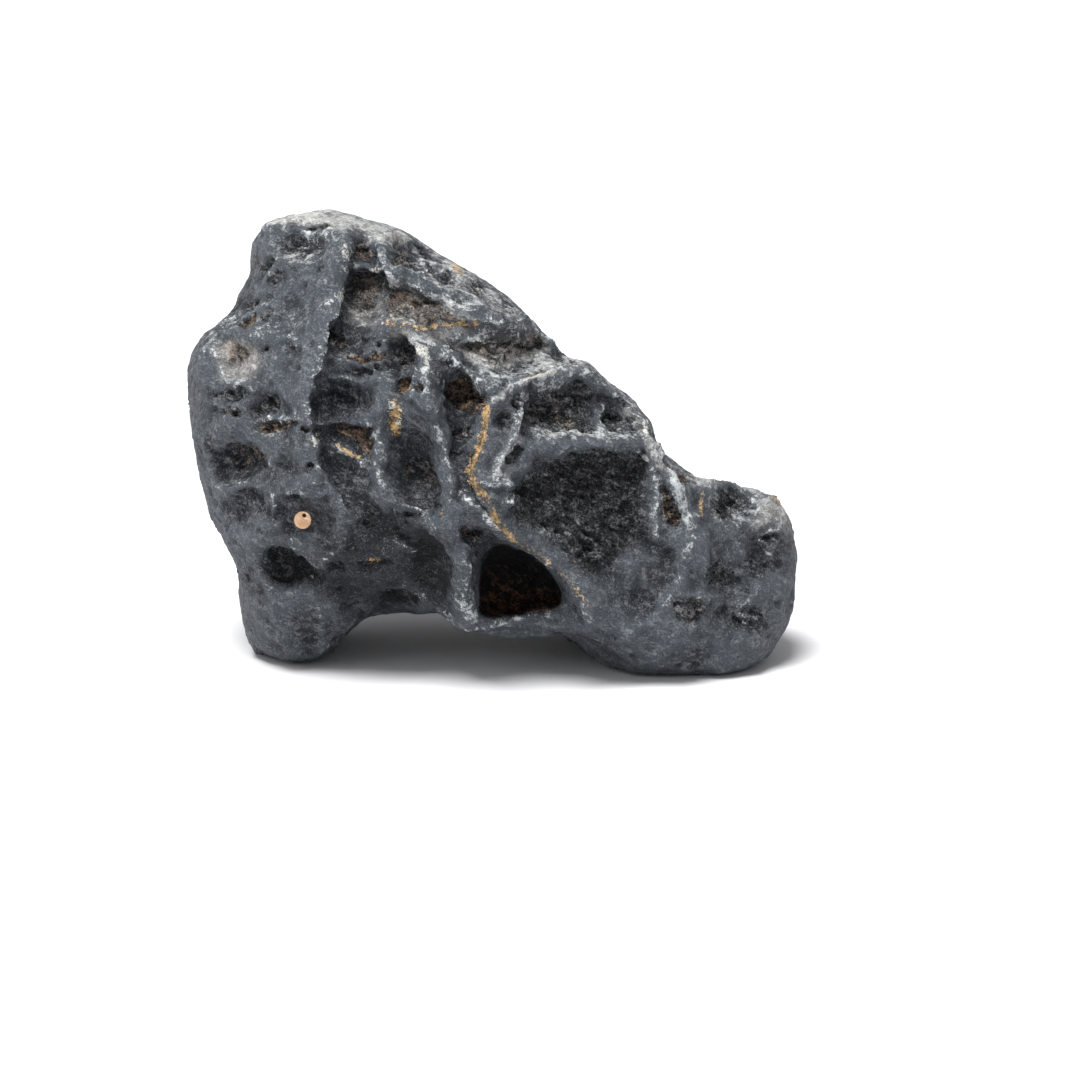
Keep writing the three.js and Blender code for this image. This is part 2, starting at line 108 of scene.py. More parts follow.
MOUTH_SHADE = 1.2  # how far in from the rim its darkness is full


def laid_out(text):
    """Records written as "setting setting: across up across up;", with notes on lines of their
    own, as tuples of the settings and the list of across, up, across, up."""
    plain = " ".join(line for line in text.splitlines() if not line.startswith("#"))
    records = [record.split(":") for record in plain.split(";") if record.strip()]
    return [(*map(float, settings.split()), [float(v) for v in points.split()])
            for settings, points in records]


# Hollows of the front: depth (below zero where a hollow of the solid is filled up), width of the
# steep wall under the upper rim, width of the slope above the lower rim, rust, darkness and
# roughness from 0 to 1, and the rim as across and up.
HOLLOWS = laid_out("""
# Left face
3 5 9 0.1 0.3 0.5: -91 174 -87 179 -80 180.5 -71 178 -68 175 -72 170 -80 169 -87 170;
1.4 1.5 3 0.2 0.2 0.9: -80 183 -76 185.5 -68 185 -66 182 -72 180.8 -78 181.5;
1.6 1.2 2.5 0 0.2 0.9: -99 167 -94 169.5 -93 166.5 -97 164;
1.2 1.5 3 0 0.2 0.9: -96 161 -92 163.5 -88 163 -89 159 -94 158;
2 1.3 2.5 0.1 0.4 0.5: -107 151 -103 153.3 -99 152 -100 149 -105 148.5;
1.8 1.3 4 0.6 0.1 0.9: -109 144 -105 146 -100 146 -101 142 -105 139.5 -108 140.5;
1.2 2.5 4 0.1 0.1 0.9: -99 144 -96 147.5 -93 146.5 -94 141.5 -98 141;
1.2 4.5 14 0.5 0 0.25: -117 132 -112 134.6 -104 134 -99.5 132.5 -100 127 -103 121 -108 118.5
  -112 119 -115.5 125;
1.6 1.3 3 0.1 0.4 0.9: -98 131.5 -95 133 -92.5 132 -93 129.8 -97 129.8;
1.2 1.3 3 0.1 0.3 0.9: -89 131.3 -86.5 132.8 -84 131.5 -85 129.5 -88 129.8;
2.2 1.4 3 0.1 0.4 0.9: -119 112 -113 114 -107 115.5 -103 114 -106 110.5 -113 109.5;
1.2 1.5 3 0.3 0.1 0.9: -116 106 -112 108.5 -107 107 -108 104 -113 103.5;
3.8 2.2 8 0.25 0.2 0.9: -101 105 -98 109.5 -94 111 -90.5 108.5 -90 104 -93 102.3 -98 102;
3.4 1.2 6 0.85 0.2 0.9: -99.8 99.8 -97 101.4 -90 101 -83.5 101.2 -84 98.5 -90 95 -96 94.3 -99 96.5;
1.6 1.3 3 0.3 0.2 0.9: -82.5 98.8 -79 99.6 -77.3 96 -80 92.8 -82 95;
4.2 5.5 15 0.35 0.2 0.5: -117 87 -112 91 -104 91.8 -98.5 88.5 -95.7 82 -97 77 -102 74.5 -110 74.5
  -115.5 77 -118 82;
3.4 5 14 0.1 0.15 0.35: -113 70.5 -107 73.5 -101 72 -97 67 -95 61 -98 57 -104 57 -110 61 -114.5 66;
1.2 1.3 2 0 0.3 0.3: -92.5 82.5 -90 84.5 -87 83 -87.5 81 -91 81;
1.4 1.3 2 0 0.4 0.9: -79.5 81.5 -77 84 -74.5 83 -76 80.3 -79 79.8;
1.5 2.5 13 0 0.45 0.2: -90 68.5 -84 70.5 -74 70.5 -66 68 -61 61 -62 54 -66 48 -74 43.5 -82 45.5
  -88 54;
1.8 1.3 2.2 0 0.4 0.9: -100 54.5 -97.5 56 -95.5 54.5 -97 52.3 -99.5 52.8;
5 3 8 0 0.8 0.4: -99 40.5 -95 44 -88 45.5 -81 43 -76 38 -74 33 -81 31.5 -92 34 -99 37;
2.6 1.5 3 0 0.7 0.4: -71.5 38 -67 40.7 -63 38.5 -62.5 35.3 -68 33.8;
# Middle band
4.4 2 10 0.45 0.15 0.9: -60 172.5 -58.5 177.5 -54 179.3 -50 177 -48 172 -49 168.5 -54 167.3
  -59 168.8;
2.3 5.5 20 0.35 0.05 1: -63.5 155.5 -61 162 -55 164.3 -47 163.5 -44 160 -44.5 154.5 -46.3 148
  -47 142.5 -52 139.8 -58 140.3 -61.5 146 -64.5 151;
2 1.4 4 0.3 0.4 0.9: -69.5 135.5 -66 139 -61 137.3 -60.5 132.5 -66 130.8;
1.2 1 2 0.1 0.3 0.9: -59 137.2 -55 137.8 -51 136.2 -55 135.3;
1.2 1 2 0.1 0.3 0.9: -53 134 -49 134.8 -46.5 133 -50 132.3;
3 1.2 3 0.7 0.5 0.9: -64 129.3 -60 131.3 -54 130.8 -48 130.6 -44 128.4 -50 127 -58 127.3;
1.6 1.1 2.5 0.1 0.3 0.9: -51.5 124 -49 126 -46 124.8 -47 122.3 -50.5 122;
2 1.5 4 0.1 0.4 0.4: -64.5 120 -60 123.6 -54 124 -51 121 -56 117.8 -62 118;
2.4 9 12 0.05 0.35 0.35: -74.5 108 -71 114 -64 117.3 -57 116.3 -52 111 -50.2 104 -52 101 -60 100.2
  -68 101 -73.5 103;
2.5 2.6 12 0.9 0 1: -72.8 96.6 -68 99.4 -60 99.8 -51 98.6 -49 93 -50 87 -53 83.3 -58 85.3 -63 89
  -68 92.5;
3.4 6 12 0 0.3 0.3: -72.5 87.5 -68 90.5 -63 88 -57 83.5 -54 77 -57 71.5 -60 65.5 -64 65.5 -68 73
  -71.5 80;
4.2 2.5 9 0.2 0.15 0.9: -46 128 -43 132.5 -38 133.6 -33 130.8 -32.3 126.5 -36 122.8 -42 121.5
  -46 123;
3.2 1.4 2.5 0.9 0.4 0.9: -40.3 116 -37.5 119.8 -35 119.3 -36 114 -38 112.3;
2 1.4 3 0.3 0.3 0.9: -34.6 117 -32 119.8 -29 117.8 -29 114.3 -32 112.8;
2 9 16 0 0.35 0.15: -46 90 -42 96 -36 98.6 -29 96.5 -24.5 90 -21.5 82 -20.5 73 -21.5 66 -26 62
  -31 64 -38 68 -44 76 -47 84;
3 3 10 0.25 0.25 0.55: -41.5 83 -37 86.3 -31 85.3 -26 79 -24.5 72 -27 67.3 -33 71 -39 77;
# Belly
2.6 1.2 3 0 0.5 0.3: -43 62.3 -38 64.8 -33 63.7 -29.3 60.3 -34 59.8 -40 60.8;
2.2 1.2 2.2 0 0.5 0.3: -31.3 64.8 -28 67.2 -24 66 -26 63.8;
1.8 1.2 2.2 0 0.4 0.2: -54.5 63 -52.5 65.8 -50 64.5 -50.5 62 -53 61.3;
1.4 1 1.6 0 0.4 0.2: -51.5 60 -50 61.4 -48.5 60 -50 58.8;
1.8 1.2 2 0 0.3 0.2: -45 54.5 -43 56.6 -40.7 55 -42.5 52.8;
1.6 1.2 2 0 0.3 0.2: -39.5 58 -38 60.2 -36.2 58.5 -37.8 56;
1.4 1 1.6 0.6 0.3 0.3: -25.5 61.5 -24 63 -22.3 61.5 -24 59.8;
2.2 1.8 3 0 0.4 0.3: -46 52 -40 52.8 -34 49 -29 45.3 -33 43.8 -39 47.8;
1.4 1.5 4 0.1 0.3 0.5: -65 48 -61 51.5 -57 49 -58 44.5 -63 44;
3.2 1.5 3.2 0.2 0.5 0.3: -58.3 41.3 -53 43.2 -46 41.7 -43 40.3 -48 38.8 -52 37 -56.3 38.3;
1.8 1.2 2.2 0 0.4 0.2: -44.3 32 -41 34.2 -37.3 32.6 -38.7 30.3 -42 29.8;
3.2 1.8 3.2 0.2 0.5 0.3: -47.3 26 -43 29 -38 29.5 -33 27.6 -31.3 24.8 -36 22.8 -43 23.2;
2 1.2 2.5 0.1 0.4 0.3: -61 22.5 -55 25.2 -48 25.2 -52 22.2;
2.2 4 6 0 0.3 0.1: -31 49 -24 50.5 -19.5 44 -17.5 36 -19.5 27 -24 23.5 -29 29 -32 40;
4.2 1.8 4.5 0.45 0.5 0.9: -14.3 54.8 -10 55.3 -5 52.3 -3 48.5 -7 46 -12 48.7;
# Upper slope
2.4 4.5 14 0.3 0 1: -43.7 178 -38 177.5 -33 171.5 -30 164.5 -33 161 -39 161 -43 165 -44.5 171;
2 2 3.5 0.1 0.3 0.9: -32.5 178 -28 174.3 -22 169.3 -19.5 166 -24 165.5 -29 168.5 -32 173;
1.4 1.2 2.2 0.1 0.3 0.9: -30 164.5 -27.5 166.3 -25.8 163 -28.5 161.5;
2.4 1.4 2.2 0.1 0.4 0.9: -23.3 163 -20 165.8 -16.8 163 -16.8 160.2 -21 160.2;
1.2 1 2 0.2 0.2 0.9: -10 159.5 -6.5 160 -3.5 157 -6 155.3 -9 157;
1.4 1.2 2 0.1 0.3 0.9: 3.5 150.3 8 149.3 11.8 146 8 146.2;
1.4 1.2 2 0 0.2 0.3: -20.5 151.8 -16 151.3 -11.5 147.8 -17 148.6;
-2.2 9 2.5 0.45 0 1: -45.5 156 -40 158.7 -35 157.3 -28 153.2 -20 148.8 -12 145.6 -6 142.9 -15 142
  -22 141.8 -30 140.3 -38 141.8 -46 143 -46.5 150;
-5.5 5 16 0.3 0 0.75: -18.5 132 -12 137 -5 138.7 3 139.3 12 139 20 137 24.3 131 23 126 14 121.5
  8 118 0 114 -5 118 -12 123 -18 128;
1.6 1.4 4 0.1 0.05 1: -16 131 -12 134.5 -6 133 -7 128 -13 127.5;
1.8 1.4 4 0.1 0.05 1: -5 134 0 137 6 134 4 128.5 -3 128;
1.6 1.4 4 0.1 0.05 1: 9 134 14 137 20 133 17 128 10 128.5;
1.8 1.5 4 0.1 0.3 0.9: 25.3 131 30 130 36 125 40 120.7 33 122 26 126;
4 3.5 11 0.6 0 1: -21 115.5 -17 118.6 -11 118 -5 115.5 -3 111 -5 106 -10 101 -14 102 -18 107
  -20.5 111;
1.8 1.3 3 0.2 0.3 0.9: -19.5 97.5 -14 100.3 -10 97.7 -11 94 -16 93.7;
1.4 1 2 0.1 0.3 0.9: -17.5 89.3 -15 91 -12.8 89.3 -15 87.6;
1.4 1.3 2.4 0 0.2 0.9: -25.5 126.5 -20 127 -15 122.8 -12 119.3 -17 120.8 -22 123.5;
# Plate
-3 1.6 1.6 0 0 0.2: -6.5 75.6 -2 76 4 76.8 7.8 74 8.3 69 6.2 63.5 2 67.5 -2.5 71.5;
1.4 1.3 3 0 0.3 0.4: 0.3 101.5 4 104.6 8 103 7 98 3 97.2;
1.7 1.3 3.5 0.3 0.2 0.9: 6.5 107 9 111 13 112.7 15.3 110 13 105 9 103.7;
3 4.5 20 0.2 0.35 1: 13.8 106 18 113 23 115.6 30 113.6 34 118 40 116.5 45 111 44 103 45 96 38 92.3
  28 90.8 19 90.8 13 95;
1.8 1.6 4 0.1 0.2 0.9: 15.5 103 19 110.5 25 109 25.5 101.5 20 97.5;
1.9 1.6 4 0.3 0.2 0.9: 26 99 30 106.5 36 104 35.5 97 30 95;
1.4 1.5 3 0.1 0.1 0.9: 34 111 38 115 42.5 110.5 39 107;
1.4 1.5 3 0 0 0.9: 36.5 101 40 104 43.3 101 41.5 96.5 38 96;
3.2 1.5 3 0.1 0.4 0.9: 45.3 103.5 48.5 105.8 53 103 52 98.3 47.3 97.7;
1.8 1.4 3 0.1 0.4 0.9: 52.5 101 57 104.8 62.3 103.5 64 98 58 96.7;
1.2 1.2 2.5 0.1 0.2 0.9: 49 110.5 53 111 58 107.5 54 106.5;
4 4.5 12 0 0.2 0.9: 26 82.5 32 87.7 42 88.3 50 87.7 56 84 60 88.3 65 86.3 67 80 62 76.5 54 76 46 78
  36 77 29 78;
2 1.6 3 0 0.4 0.9: 4.7 87 8 90.7 12 89.3 13.3 85 10 82 5 81;
2.4 3 8 0 0.4 0.9: 8 72.5 12 76.5 18 74.5 22.5 70 20 63.5 12 62.5 7.3 66;
1.4 3 7 0 0.2 0.9: 30 75 40 76.8 47 72 42 62 32 62.5 28 68;
1.4 3 7 0 0.2 0.9: 46 65 56 66.5 63 58 56 48 47 51 43 58;
1.2 3 6 0 0.2 0.9: 18 59 27 60 33 53 28 46 20 50;
3.6 2 9 0.6 0.2 0.9: 68 71 72 73.5 76 69 79.3 63 80 58 76 54.5 70 57 68 63;
2.2 1.4 3 0.15 0.3 0.9: 65.8 94 69 93.3 73.3 87 77 82 73 81 69 86;
# Snout and the right foot
2 1.3 3 0.7 0.3 0.9: 76.7 80 81 80.5 83.3 76 78 74.7;
-0.8 7 14 0.15 0.15 0.7: 89.5 74 95 74.8 100 73 106 68.5 109.3 62 104 57 97 56.5 90 59.5 87.7 66;
1.4 1.5 4 0.2 0.2 0.9: 92 64 96 67 101 64 98 60;
2 1.3 2.5 0.1 0.3 0.9: 111 52.5 118 54.8 121.5 51 115 49.7;
1.2 3 6 0.1 0.1 0.6: 102 40 109 44 117 40 114 33.5 106 34;
1.4 3 7 0.1 0.1 0.6: 87 37 95 42.5 103 37 99 28 90 28.5;
1.4 3 7 0.2 0.1 0.6: 74 24 83 29 92 22.5 87 13.5 77 14;
1.2 3 6 0.1 0.1 0.6: 100 19 108 24.5 116 19 111 10.5 103 11.5;
""")

# Crests of the front: half width and height, how pale it is 0 to 1 (pale wear and painted
# highlight), and its line. One of no height is only pale.
CRESTS = laid_out("""
6 0 1: -62.5 177 -63 168 -63.5 160 -64 154 -65.5 148;
6 2.6 0.5: -62.5 177 -63 168 -63.5 160 -64 154 -66 147 -69 141 -71 133 -72.5 127 -75.5 121 -76 115
  -77.5 108 -77 99 -75 93 -73 85 -70 78 -66 71 -63 65 -60 60;
4 1.6 0.9: -62 166 -55 166 -50 164.5 -46 163 -43.5 158.5;
5 2.2 1: -50 180 -47.5 174 -47 170 -45.5 164 -42 160.5 -36 159.3 -29 156 -22 151.5 -15 148 -7 143.5
  2 143 12 143.5 19 141;
3.5 1.2 0.6: -48 150 -46.7 143 -46 136 -45 130;
3.5 1.4 0.6: -70 129 -65 126.5 -58 125.5 -50 126.3;
3.5 1.2 0.5: -75 116 -70 117.8 -62 117.5 -54 116.5;
3.5 1.5 0.6: -75 100 -66 100.8 -55 100 -50.3 100 -49.8 95;
3 1 0.7: -68 91.5 -62 88 -57 84.5 -53 82;
3.5 1.2 0.6: -29.5 172 -29 167 -30 163 -27 158;
5 2 1: -36 135.5 -30 133.5 -24 132 -19 130.5;
5 1.8 1: -22 131.5 -17 134.5 -12 137.3 -5 139 2 140 8 140.7 15 140 20 138 26 133.5 33 127.5 40 121;
4.5 1.8 0.9: -24 130.5 -18 127 -12 121.5 -6 117.5 0 113;
4.5 2 1: -33 134.5 -30 129.5 -28 124 -28.5 118 -29 112;
3.5 1.4 0.8: -32 125 -34 121 -35 116 -37 111;
3.5 1.2 0.6: -30 126 -26 123 -23 117 -22 110 -24 103;
3.2 1 0.7: 22.5 132 24 127 22.5 122;
6.5 2.4 0.65: -25 104 -23 97 -20 90 -18.5 82 -18 75 -17.5 66 -16 58 -14.5 48 -13 40 -13 30 -11 20
  -6 15;
5 1.8 0.9: -47.5 108 -49.5 100 -49 92 -47 86 -48 78 -44 72 -38 67;
4.5 2 1: -3 107 0 110.5 5 113 9 116.5 14 118.8 20 120.2 26 123 31 123.8 38 121 45 115.5 53 110.5
  60 105;
3.2 1.3 0.9: 16 116.5 22 115.8 27 117 31 119.5 34 122;
3 2 1: 16 113 13 109 12.5 104 9 97 6 92 3.8 86 2 79 1.5 76;
2.6 2.2 1: -7 76 -4 75 0 75 4 76.3 7.3 74 8 70 6 65;
3.2 1.3 0.9: 12.5 80 14.5 84 16.5 87.5 18 91;
3.5 1.4 0.8: 44.5 109 45 104 45.3 99 43.5 95 38 92;
4.5 1.5 0.25: 18 88 24 88.5 30 89.8 42 89.8 50 89.5 57 86.5 60 89.5 64 88;
4 2.8 1: 57 107 61 102 64 98 65 92 67 87.5 71 83 75 79 76.5 74 78.5 66 80.5 61 85 57;
3.5 1.2 0.6: 64.5 85.5 66.5 80 68 73 67.5 65 68 55 69 50;
3.5 1.4 0.6: -15 71.5 -10 68 -5 63.5 -2 58 3 53.5 8 50.5;
4 1.8 0.5: -1 54 5 50.8 10 49.3 15 47.3 21 43.5 28 36.5 34 29.5 40 22 43 18;
3.5 1.3 0.6: -26 23 -20 18 -12 15.5 -4 16 8 18 18 19.5 27 19;
4 1.6 0.7: 86 75 95 76 103 75.5 111 71.5 120 67;
3.2 1.2 0.9: 110 63 108.5 67 107 70 103 75;
3 1 0.6: 108 62 114 60 122 59.5;
3.2 1.4 0.8: 111 52 116 55 121 56.5;
3 1.2 0.6: 79 75 79.5 68 81.5 61.5;
3.5 1.2 0.3: 84.5 60 87.5 66 88 72 85 76;
4 1.6 0.9: -98 182 -90 182.5 -83 183 -78 180.5 -70 180 -65 180;
3 1 0.6: -96 158 -94 164 -92 168 -88 168;
4 1.6 0.8: -118 136 -117 130 -114.5 123 -111 118 -104 116 -98 113;
3.5 1.2 0.5: -103 136 -96 137.5 -88 136 -82 133;
3.5 1 0.5: -93 147 -94 142 -98 138 -104 136.5;
3.5 1.2 0.5: -90 69 -86 71.5 -80 74.5 -74 77 -69 76;
3.5 1.2 0.5: -61.5 53 -65 47.5 -69 43.5 -75 41 -80 43.5 -84 47 -88 53;
3.5 1.2 0.5: -101 101.5 -96 102.3 -88 102 -82 101.5;
3.5 1.2 0.5: -98.5 89.5 -95 83 -95.5 76 -94 69 -92 62;
6 2.2 0.3: 84 56 80 44 76 30 70 16;
6 2 0.3: 121 56 114 40 108 24 104 6;
5 1.8 0.3: 76 30 90 26 108 24;
5 1.8 0.3: -100 38 -92 24 -88 8;
5 1.6 0.3: -84 46 -76 30 -72 14 -74 2;
3.5 1.2 0.5: -116.5 73 -110 74 -104 74.5 -98 73;
3 1 0.4: -44 66 -38 66 -33 65 -28 60 -24 54;
3 1 0.4: -49 52 -42 50 -36 46.5 -30 43;
3 0.9 0.3: -48 29.5 -42 30 -36 30.5 -30 28 -26 23;
""")

# Steps of the front: width and drop, and the line; the right-hand side of the line is the lower.
STEPS = laid_out("""
7 3: -3 107 -4 97 -7 88 -10 80 -8 75 -4 68 0 62 5 54 9 50;
7 2.2: 60 106 53 111 40 120 31 124 26 123.5 14 119 5 113.5 -3 107.5;
6 2.2: -7 76 0 75 4 76 7.5 74 8 70 6 65;
11 1.2: -79 98 -76 110 -75 120 -71 132 -68 141 -64 152 -62.5 165 -61.5 176;
11 1.6: -70 136 -68 141 -64 152 -62.5 165 -61.5 176;
""")

# Orange mineral lines and spots: half width, strength and line.
VEINS = laid_out("""
1.35 1: -3 107 -4 97 -7 88 -10 80 -8.5 76 -5 71;
1.8 0.5: -6.5 73 -3.5 68 -1 64 1 61;
1.2 0.9: 0 62 4 55.5 9 50.5;
0.9 0.72: -45 142.8 -38 141.6 -30 140 -22 141.6 -15 141.8 -7 142.6;
0.8 0.8: -65 91 -61 88 -56 85.5;
1.1 1: 117 70 121 67;
0.6 0.9: 88 71 87 66 87 62;
1.2 0.9: -16 166 -14 164;
1.1 0.35: 14 119.5 20 121 26 123;
0.8 1: -51 43 -49 43;
1.2 0.42: 10 50 20 44 28 37 36 28 42 20;
2.1 1: -41.8 108.5 -41 104.5 -42.2 101 -41.6 98;
0.8 0.9: -36 115 -37 118;
""")

# White mineral patches: across, up, half width and half height.
PALE_PATCHES = [
    (-43.4, 107.5, 1.6, 2.4), (-40.2, 101, 1.2, 1.8), (-39.5, 106.5, 1, 1.4), (-30, 131.5, 4, 2.8),
    (-33.5, 134.3, 3, 1.3), (-28, 127, 1.5, 3.5), (63.5, 98, 2.4, 4.5), (-75, 93, 1.4, 3.4),
    (-62.5, 170, 1.3, 6), (-64, 154, 1.2, 1.6), (-49.5, 164.5, 2.4, 1.2), (8, 140.4, 3, 0.8),
    (-28, 124, 1.2, 3), (64, 85.5, 2, 1), (-43, 158, 1.4, 1.4),
]

# A small round orange spot on the left face and the dark dot in it: across, up and radius.
DISC = (-77.7, 59.3, 3.5)
DISC_HOLE = (-77.0, 61.2, 0.85)
DISC_EDGE = 0.25

# Broad parts of the front that are darker than the rest, without being hollows: how dark, how
# rough, how softly they end, and their bounds.
DARK_AREAS = laid_out("""
0.8 0.8 12: 9 76 18 86 30 88 50 88 62 88 67 80 67 60 68 50 56 40 40 30 28 40 16 50 4 58;
0.34 0 26: -122 136 -82 132 -80 104 -66 70 -58 40 -70 20 -106 20 -112 60;
1 0.1 14: -84 44 -60 60 -46 66 -28 62 -18 50 -18 20 -60 18 -96 34;
""")

# Parts that are paler than the rest, partly painted light that lifts shaded hollows and the brow:
# how much, how softly they end, and their bounds.
PALE_AREAS = laid_out("""
1 4: -20 131 -12 137 -4 139 10 139.5 21 136 22 129 14 125 2 119 -8 123;
0.6 4: -47 150 -45 157 -36 158 -22 151 -6 143.5 -20 140.5 -44 141;
1 5: -118 134 -104 136 -98 132 -98 124 -104 117 -114 116 -118 124;
0.6 3: -44 140 -30 139 -14 141.5 4 143.5 18 142 18 139.5 0 140 -14 137 -24 132 -34 133 -44 135;
0.8 4: 108 54 111 69 120 68 126 61 124 54 116 56;
0.8 3: 84 75 95 79 106 77 116 72 110 69 98 74.5 88 72;
0.7 3: -4 109 4 116 14 121 24 125 33 126 42 120 32 121 20 118 9 114 0 108;
1 3: 54 110 62 104 68 92 76 82 73 78 64 86 61 96 54 104;
0.4 5: -62 142 -60 158 -52 163 -45 160 -46 142;
1 6: -104 183 -90 190 -60 192 -34 181 -38 174 -50 176 -70 183 -94 181;
0.4 8: -26 172 -14 166 -2 157 10 148 18 143 8 145 -6 152 -18 160;
0.4 4: 8 98 14 112 12 92 5 76 -4 78 2 90;
""")

# Rim of the pocket's mouth.
POCKET = [
    -2, 47, 2, 49.5, 10, 48, 20, 42, 27, 33, 29, 26, 22, 21, 8, 19.5, -3, 19, -6, 26, -6, 38,
]


def smooth_step(low, high, x):
    t = np.clip((x - low) / (high - low), 0.0, 1.0)
    return t * t * (3 - 2 * t)


class Noise:
    """Smooth gradient noise of three coordinates, about -1 to 1."""

    TABLE = 256
    GAIN = 1.6

    def __init__(self, seed):
        rng = np.random.RandomState(seed)
        self.order = np.tile(rng.permutation(self.TABLE), 3)
        steps = rng.normal(size=(self.TABLE, 3))
        self.slopes = steps / np.linalg.norm(steps, axis=1)[:, None]

    def __call__(self, points, size):
        p = points / size
        cell = np.floor(p).astype(int)
        part = p - cell
        fade = part**3 * (part * (part * 6 - 15) + 10)
        cell &= self.TABLE - 1
        total = 0.0
        for corner in np.ndindex(2, 2, 2):
            c = np.array(corner)
            at = (cell + c) & (self.TABLE - 1)
            index = self.order[self.order[self.order[at[:, 0]] + at[:, 1]] + at[:, 2]]
            dot = ((part - c) * self.slopes[index]).sum(1)
            total = total + dot * np.where(c, fade, 1 - fade).prod(1)
        return total * self.GAIN

    def layered(self, points, size, octaves):
        """Noise with finer and weaker noise added, each half the size of the last."""
        layers = (self(points + 37.0 * k, size / 2**k) / 2**k for k in range(octaves))
        return sum(layers) / self.GAIN

    def ridges(self, points, size):
        """Thin raised lines between hollow cells, 0.4 at most."""
        return 0.4 - np.abs(self(points, size)) * 1.4


def smooth_line(points, closed=False):
    """A Catmull-Rom line through the points, given as across, up, across, up."""
    p = np.reshape(points, (-1, 2)).astype(float)
    if closed:
        p = np.vstack([p[-1], p, p[0], p[1]])
    elif len(p) < 3:
        return p
    else:
        p = np.vstack([2 * p[0] - p[1], p, 2 * p[-1] - p[-2]])
    out = []
    for i in range(1, len(p) - 2):
        for t in np.arange(LINE_PARTS) / LINE_PARTS:
            out.append(
                0.5 * (2 * p[i] + (p[i + 1] - p[i - 1]) * t
                       + (2 * p[i - 1] - 5 * p[i] + 4 * p[i + 1] - p[i + 2]) * t * t
                       + (3 * p[i] - p[i - 1] - 3 * p[i + 1] + p[i + 2]) * t**3)
            )
    if not closed:
        out.append(p[-2])
    return np.array(out)


def line_distance(at, line):
    """Distance of each point to the line, which side it lies on (right is positive), and how far
    along the line it lies, 0 to 1."""
    best = np.full(len(at), np.inf)
    side = np.zeros(len(at))
    along = np.zeros(len(at))
    for i in range(len(line) - 1):
        run = line[i + 1] - line[i]
        rel = at - line[i]
        t = np.clip(rel @ run / (run @ run), 0, 1)
        miss = rel - t[:, None] * run
        d = np.hypot(miss[:, 0], miss[:, 1])
        closer = d < best
        best = np.where(closer, d, best)
        side = np.where(closer, rel[:, 0] * run[1] - rel[:, 1] * run[0], side)
        along = np.where(closer, (i + t) / (len(line) - 1), along)
    return best, side, along


def within(at, ring):
    """True for the points inside the closed line."""
    odd = np.zeros(len(at), bool)
    for (x0, y0), (x1, y1) in zip(ring, np.roll(ring, -1, axis=0)):
        if y0 != y1:
            level = (y0 > at[:, 1]) != (y1 > at[:, 1])
            odd ^= level & (at[:, 0] < (x1 - x0) * (at[:, 1] - y0) / (y1 - y0) + x0)
    return odd


def sunken_share(at, ring, wall, slope):
    """0 on the rim and outside it, 1 on the floor. The side under the upper rim is wall wide, the
    side above the lower rim is slope wide."""
    share = np.zeros(len(at))
    inner = np.nonzero(within(at, ring))[0]
    if not len(inner):
        return share
    place = at[inner]
    after = np.roll(ring, -1, axis=0)
    turning = np.sign((ring[:, 0] * after[:, 1] - ring[:, 1] * after[:, 0]).sum())
    best = np.full(len(inner), np.inf)
    for start, end in zip(ring, after):
        run = end - start
        length = math.hypot(*run)
        if length < 1e-6:
            continue
        outward_up = -run[0] / length * turning
        width = wall + (slope - wall) * (0.5 - 0.5 * outward_up)
        rel = place - start
        t = np.clip(rel @ run / length**2, 0, 1)
        miss = rel - t[:, None] * run
        rise = np.minimum(np.hypot(miss[:, 0], miss[:, 1]) / width, 1)
        steep = 0.5 + 0.5 * outward_up
        best = np.minimum(best, steep * (1 - (1 - rise) ** 2)
                          + (1 - steep) * rise**2 * (3 - 2 * rise))
    share[inner] = best
    return share


def sagging(at, ring, reach):
    """1 inside the closed line, falling to 0 at reach outside it."""
    away, _, _ = line_distance(at, np.vstack([ring, ring[:1]]))
    return np.where(within(at, ring), 1.0, np.clip(1 - away / reach, 0, 1) ** 1.6)


class Surface:
    """The fine mesh as arrays, in millimetres."""

    def __init__(self, mesh):
        self.mesh = mesh
        count = len(mesh.vertices)
        flat = np.empty(count * 3)
        mesh.vertices.foreach_get("co", flat)
        self.points = flat.reshape(-1, 3) / MM
        edges = np.empty(len(mesh.edges) * 2, dtype=int)
        mesh.edges.foreach_get("vertices", edges)
        self.edges = edges.reshape(-1, 2)
        self.degree = np.bincount(edges, minlength=count).astype(float)
        self.refresh()

    def refresh(self):
        """Writes the points to the mesh and reads its normals back."""
        self.mesh.vertices.foreach_set("co", (self.points * MM).ravel())
        self.mesh.update()
        flat = np.empty(len(self.points) * 3)
        self.mesh.vertex_normals.foreach_get("vector", flat)
        self.normals = flat.reshape(-1, 3)
        placed = self.points + LAYOUT_SHIFT
        self.layout = np.stack([placed @ ACROSS, placed @ UP, placed @ NEAR], axis=1)
        self.facing = self.normals @ NEAR

    def spread(self, values, rounds):
        """Each value as the mean of its neighbours', taken again for each round."""
        a, b = self.edges[:, 0], self.edges[:, 1]
        columns = values if values.ndim == 2 else values[:, None]
        for _ in range(rounds):
            columns = np.stack([
                np.bincount(a, column[b], len(column)) + np.bincount(b, column[a], len(column))
                for column in columns.T
            ], axis=1) / self.degree[:, None]
        return columns if values.ndim == 2 else columns[:, 0]

    def push(self, height):
        """Moves each point along its normal."""
        self.points = self.points + self.normals * height[:, None]
        self.refresh()

    def relief(self, rounds):
        """How far each point stands out of its surroundings, in mm."""
        return ((self.points - self.spread(self.points, rounds)) * self.normals).sum(1)

    def store(self, name, values):
        """Keeps a value from 0 to 1 for the material."""
        layer = self.mesh.attributes.new(name, "FLOAT", "POINT")
        layer.data.foreach_set("value", np.clip(values, 0, 1).astype(np.float32))


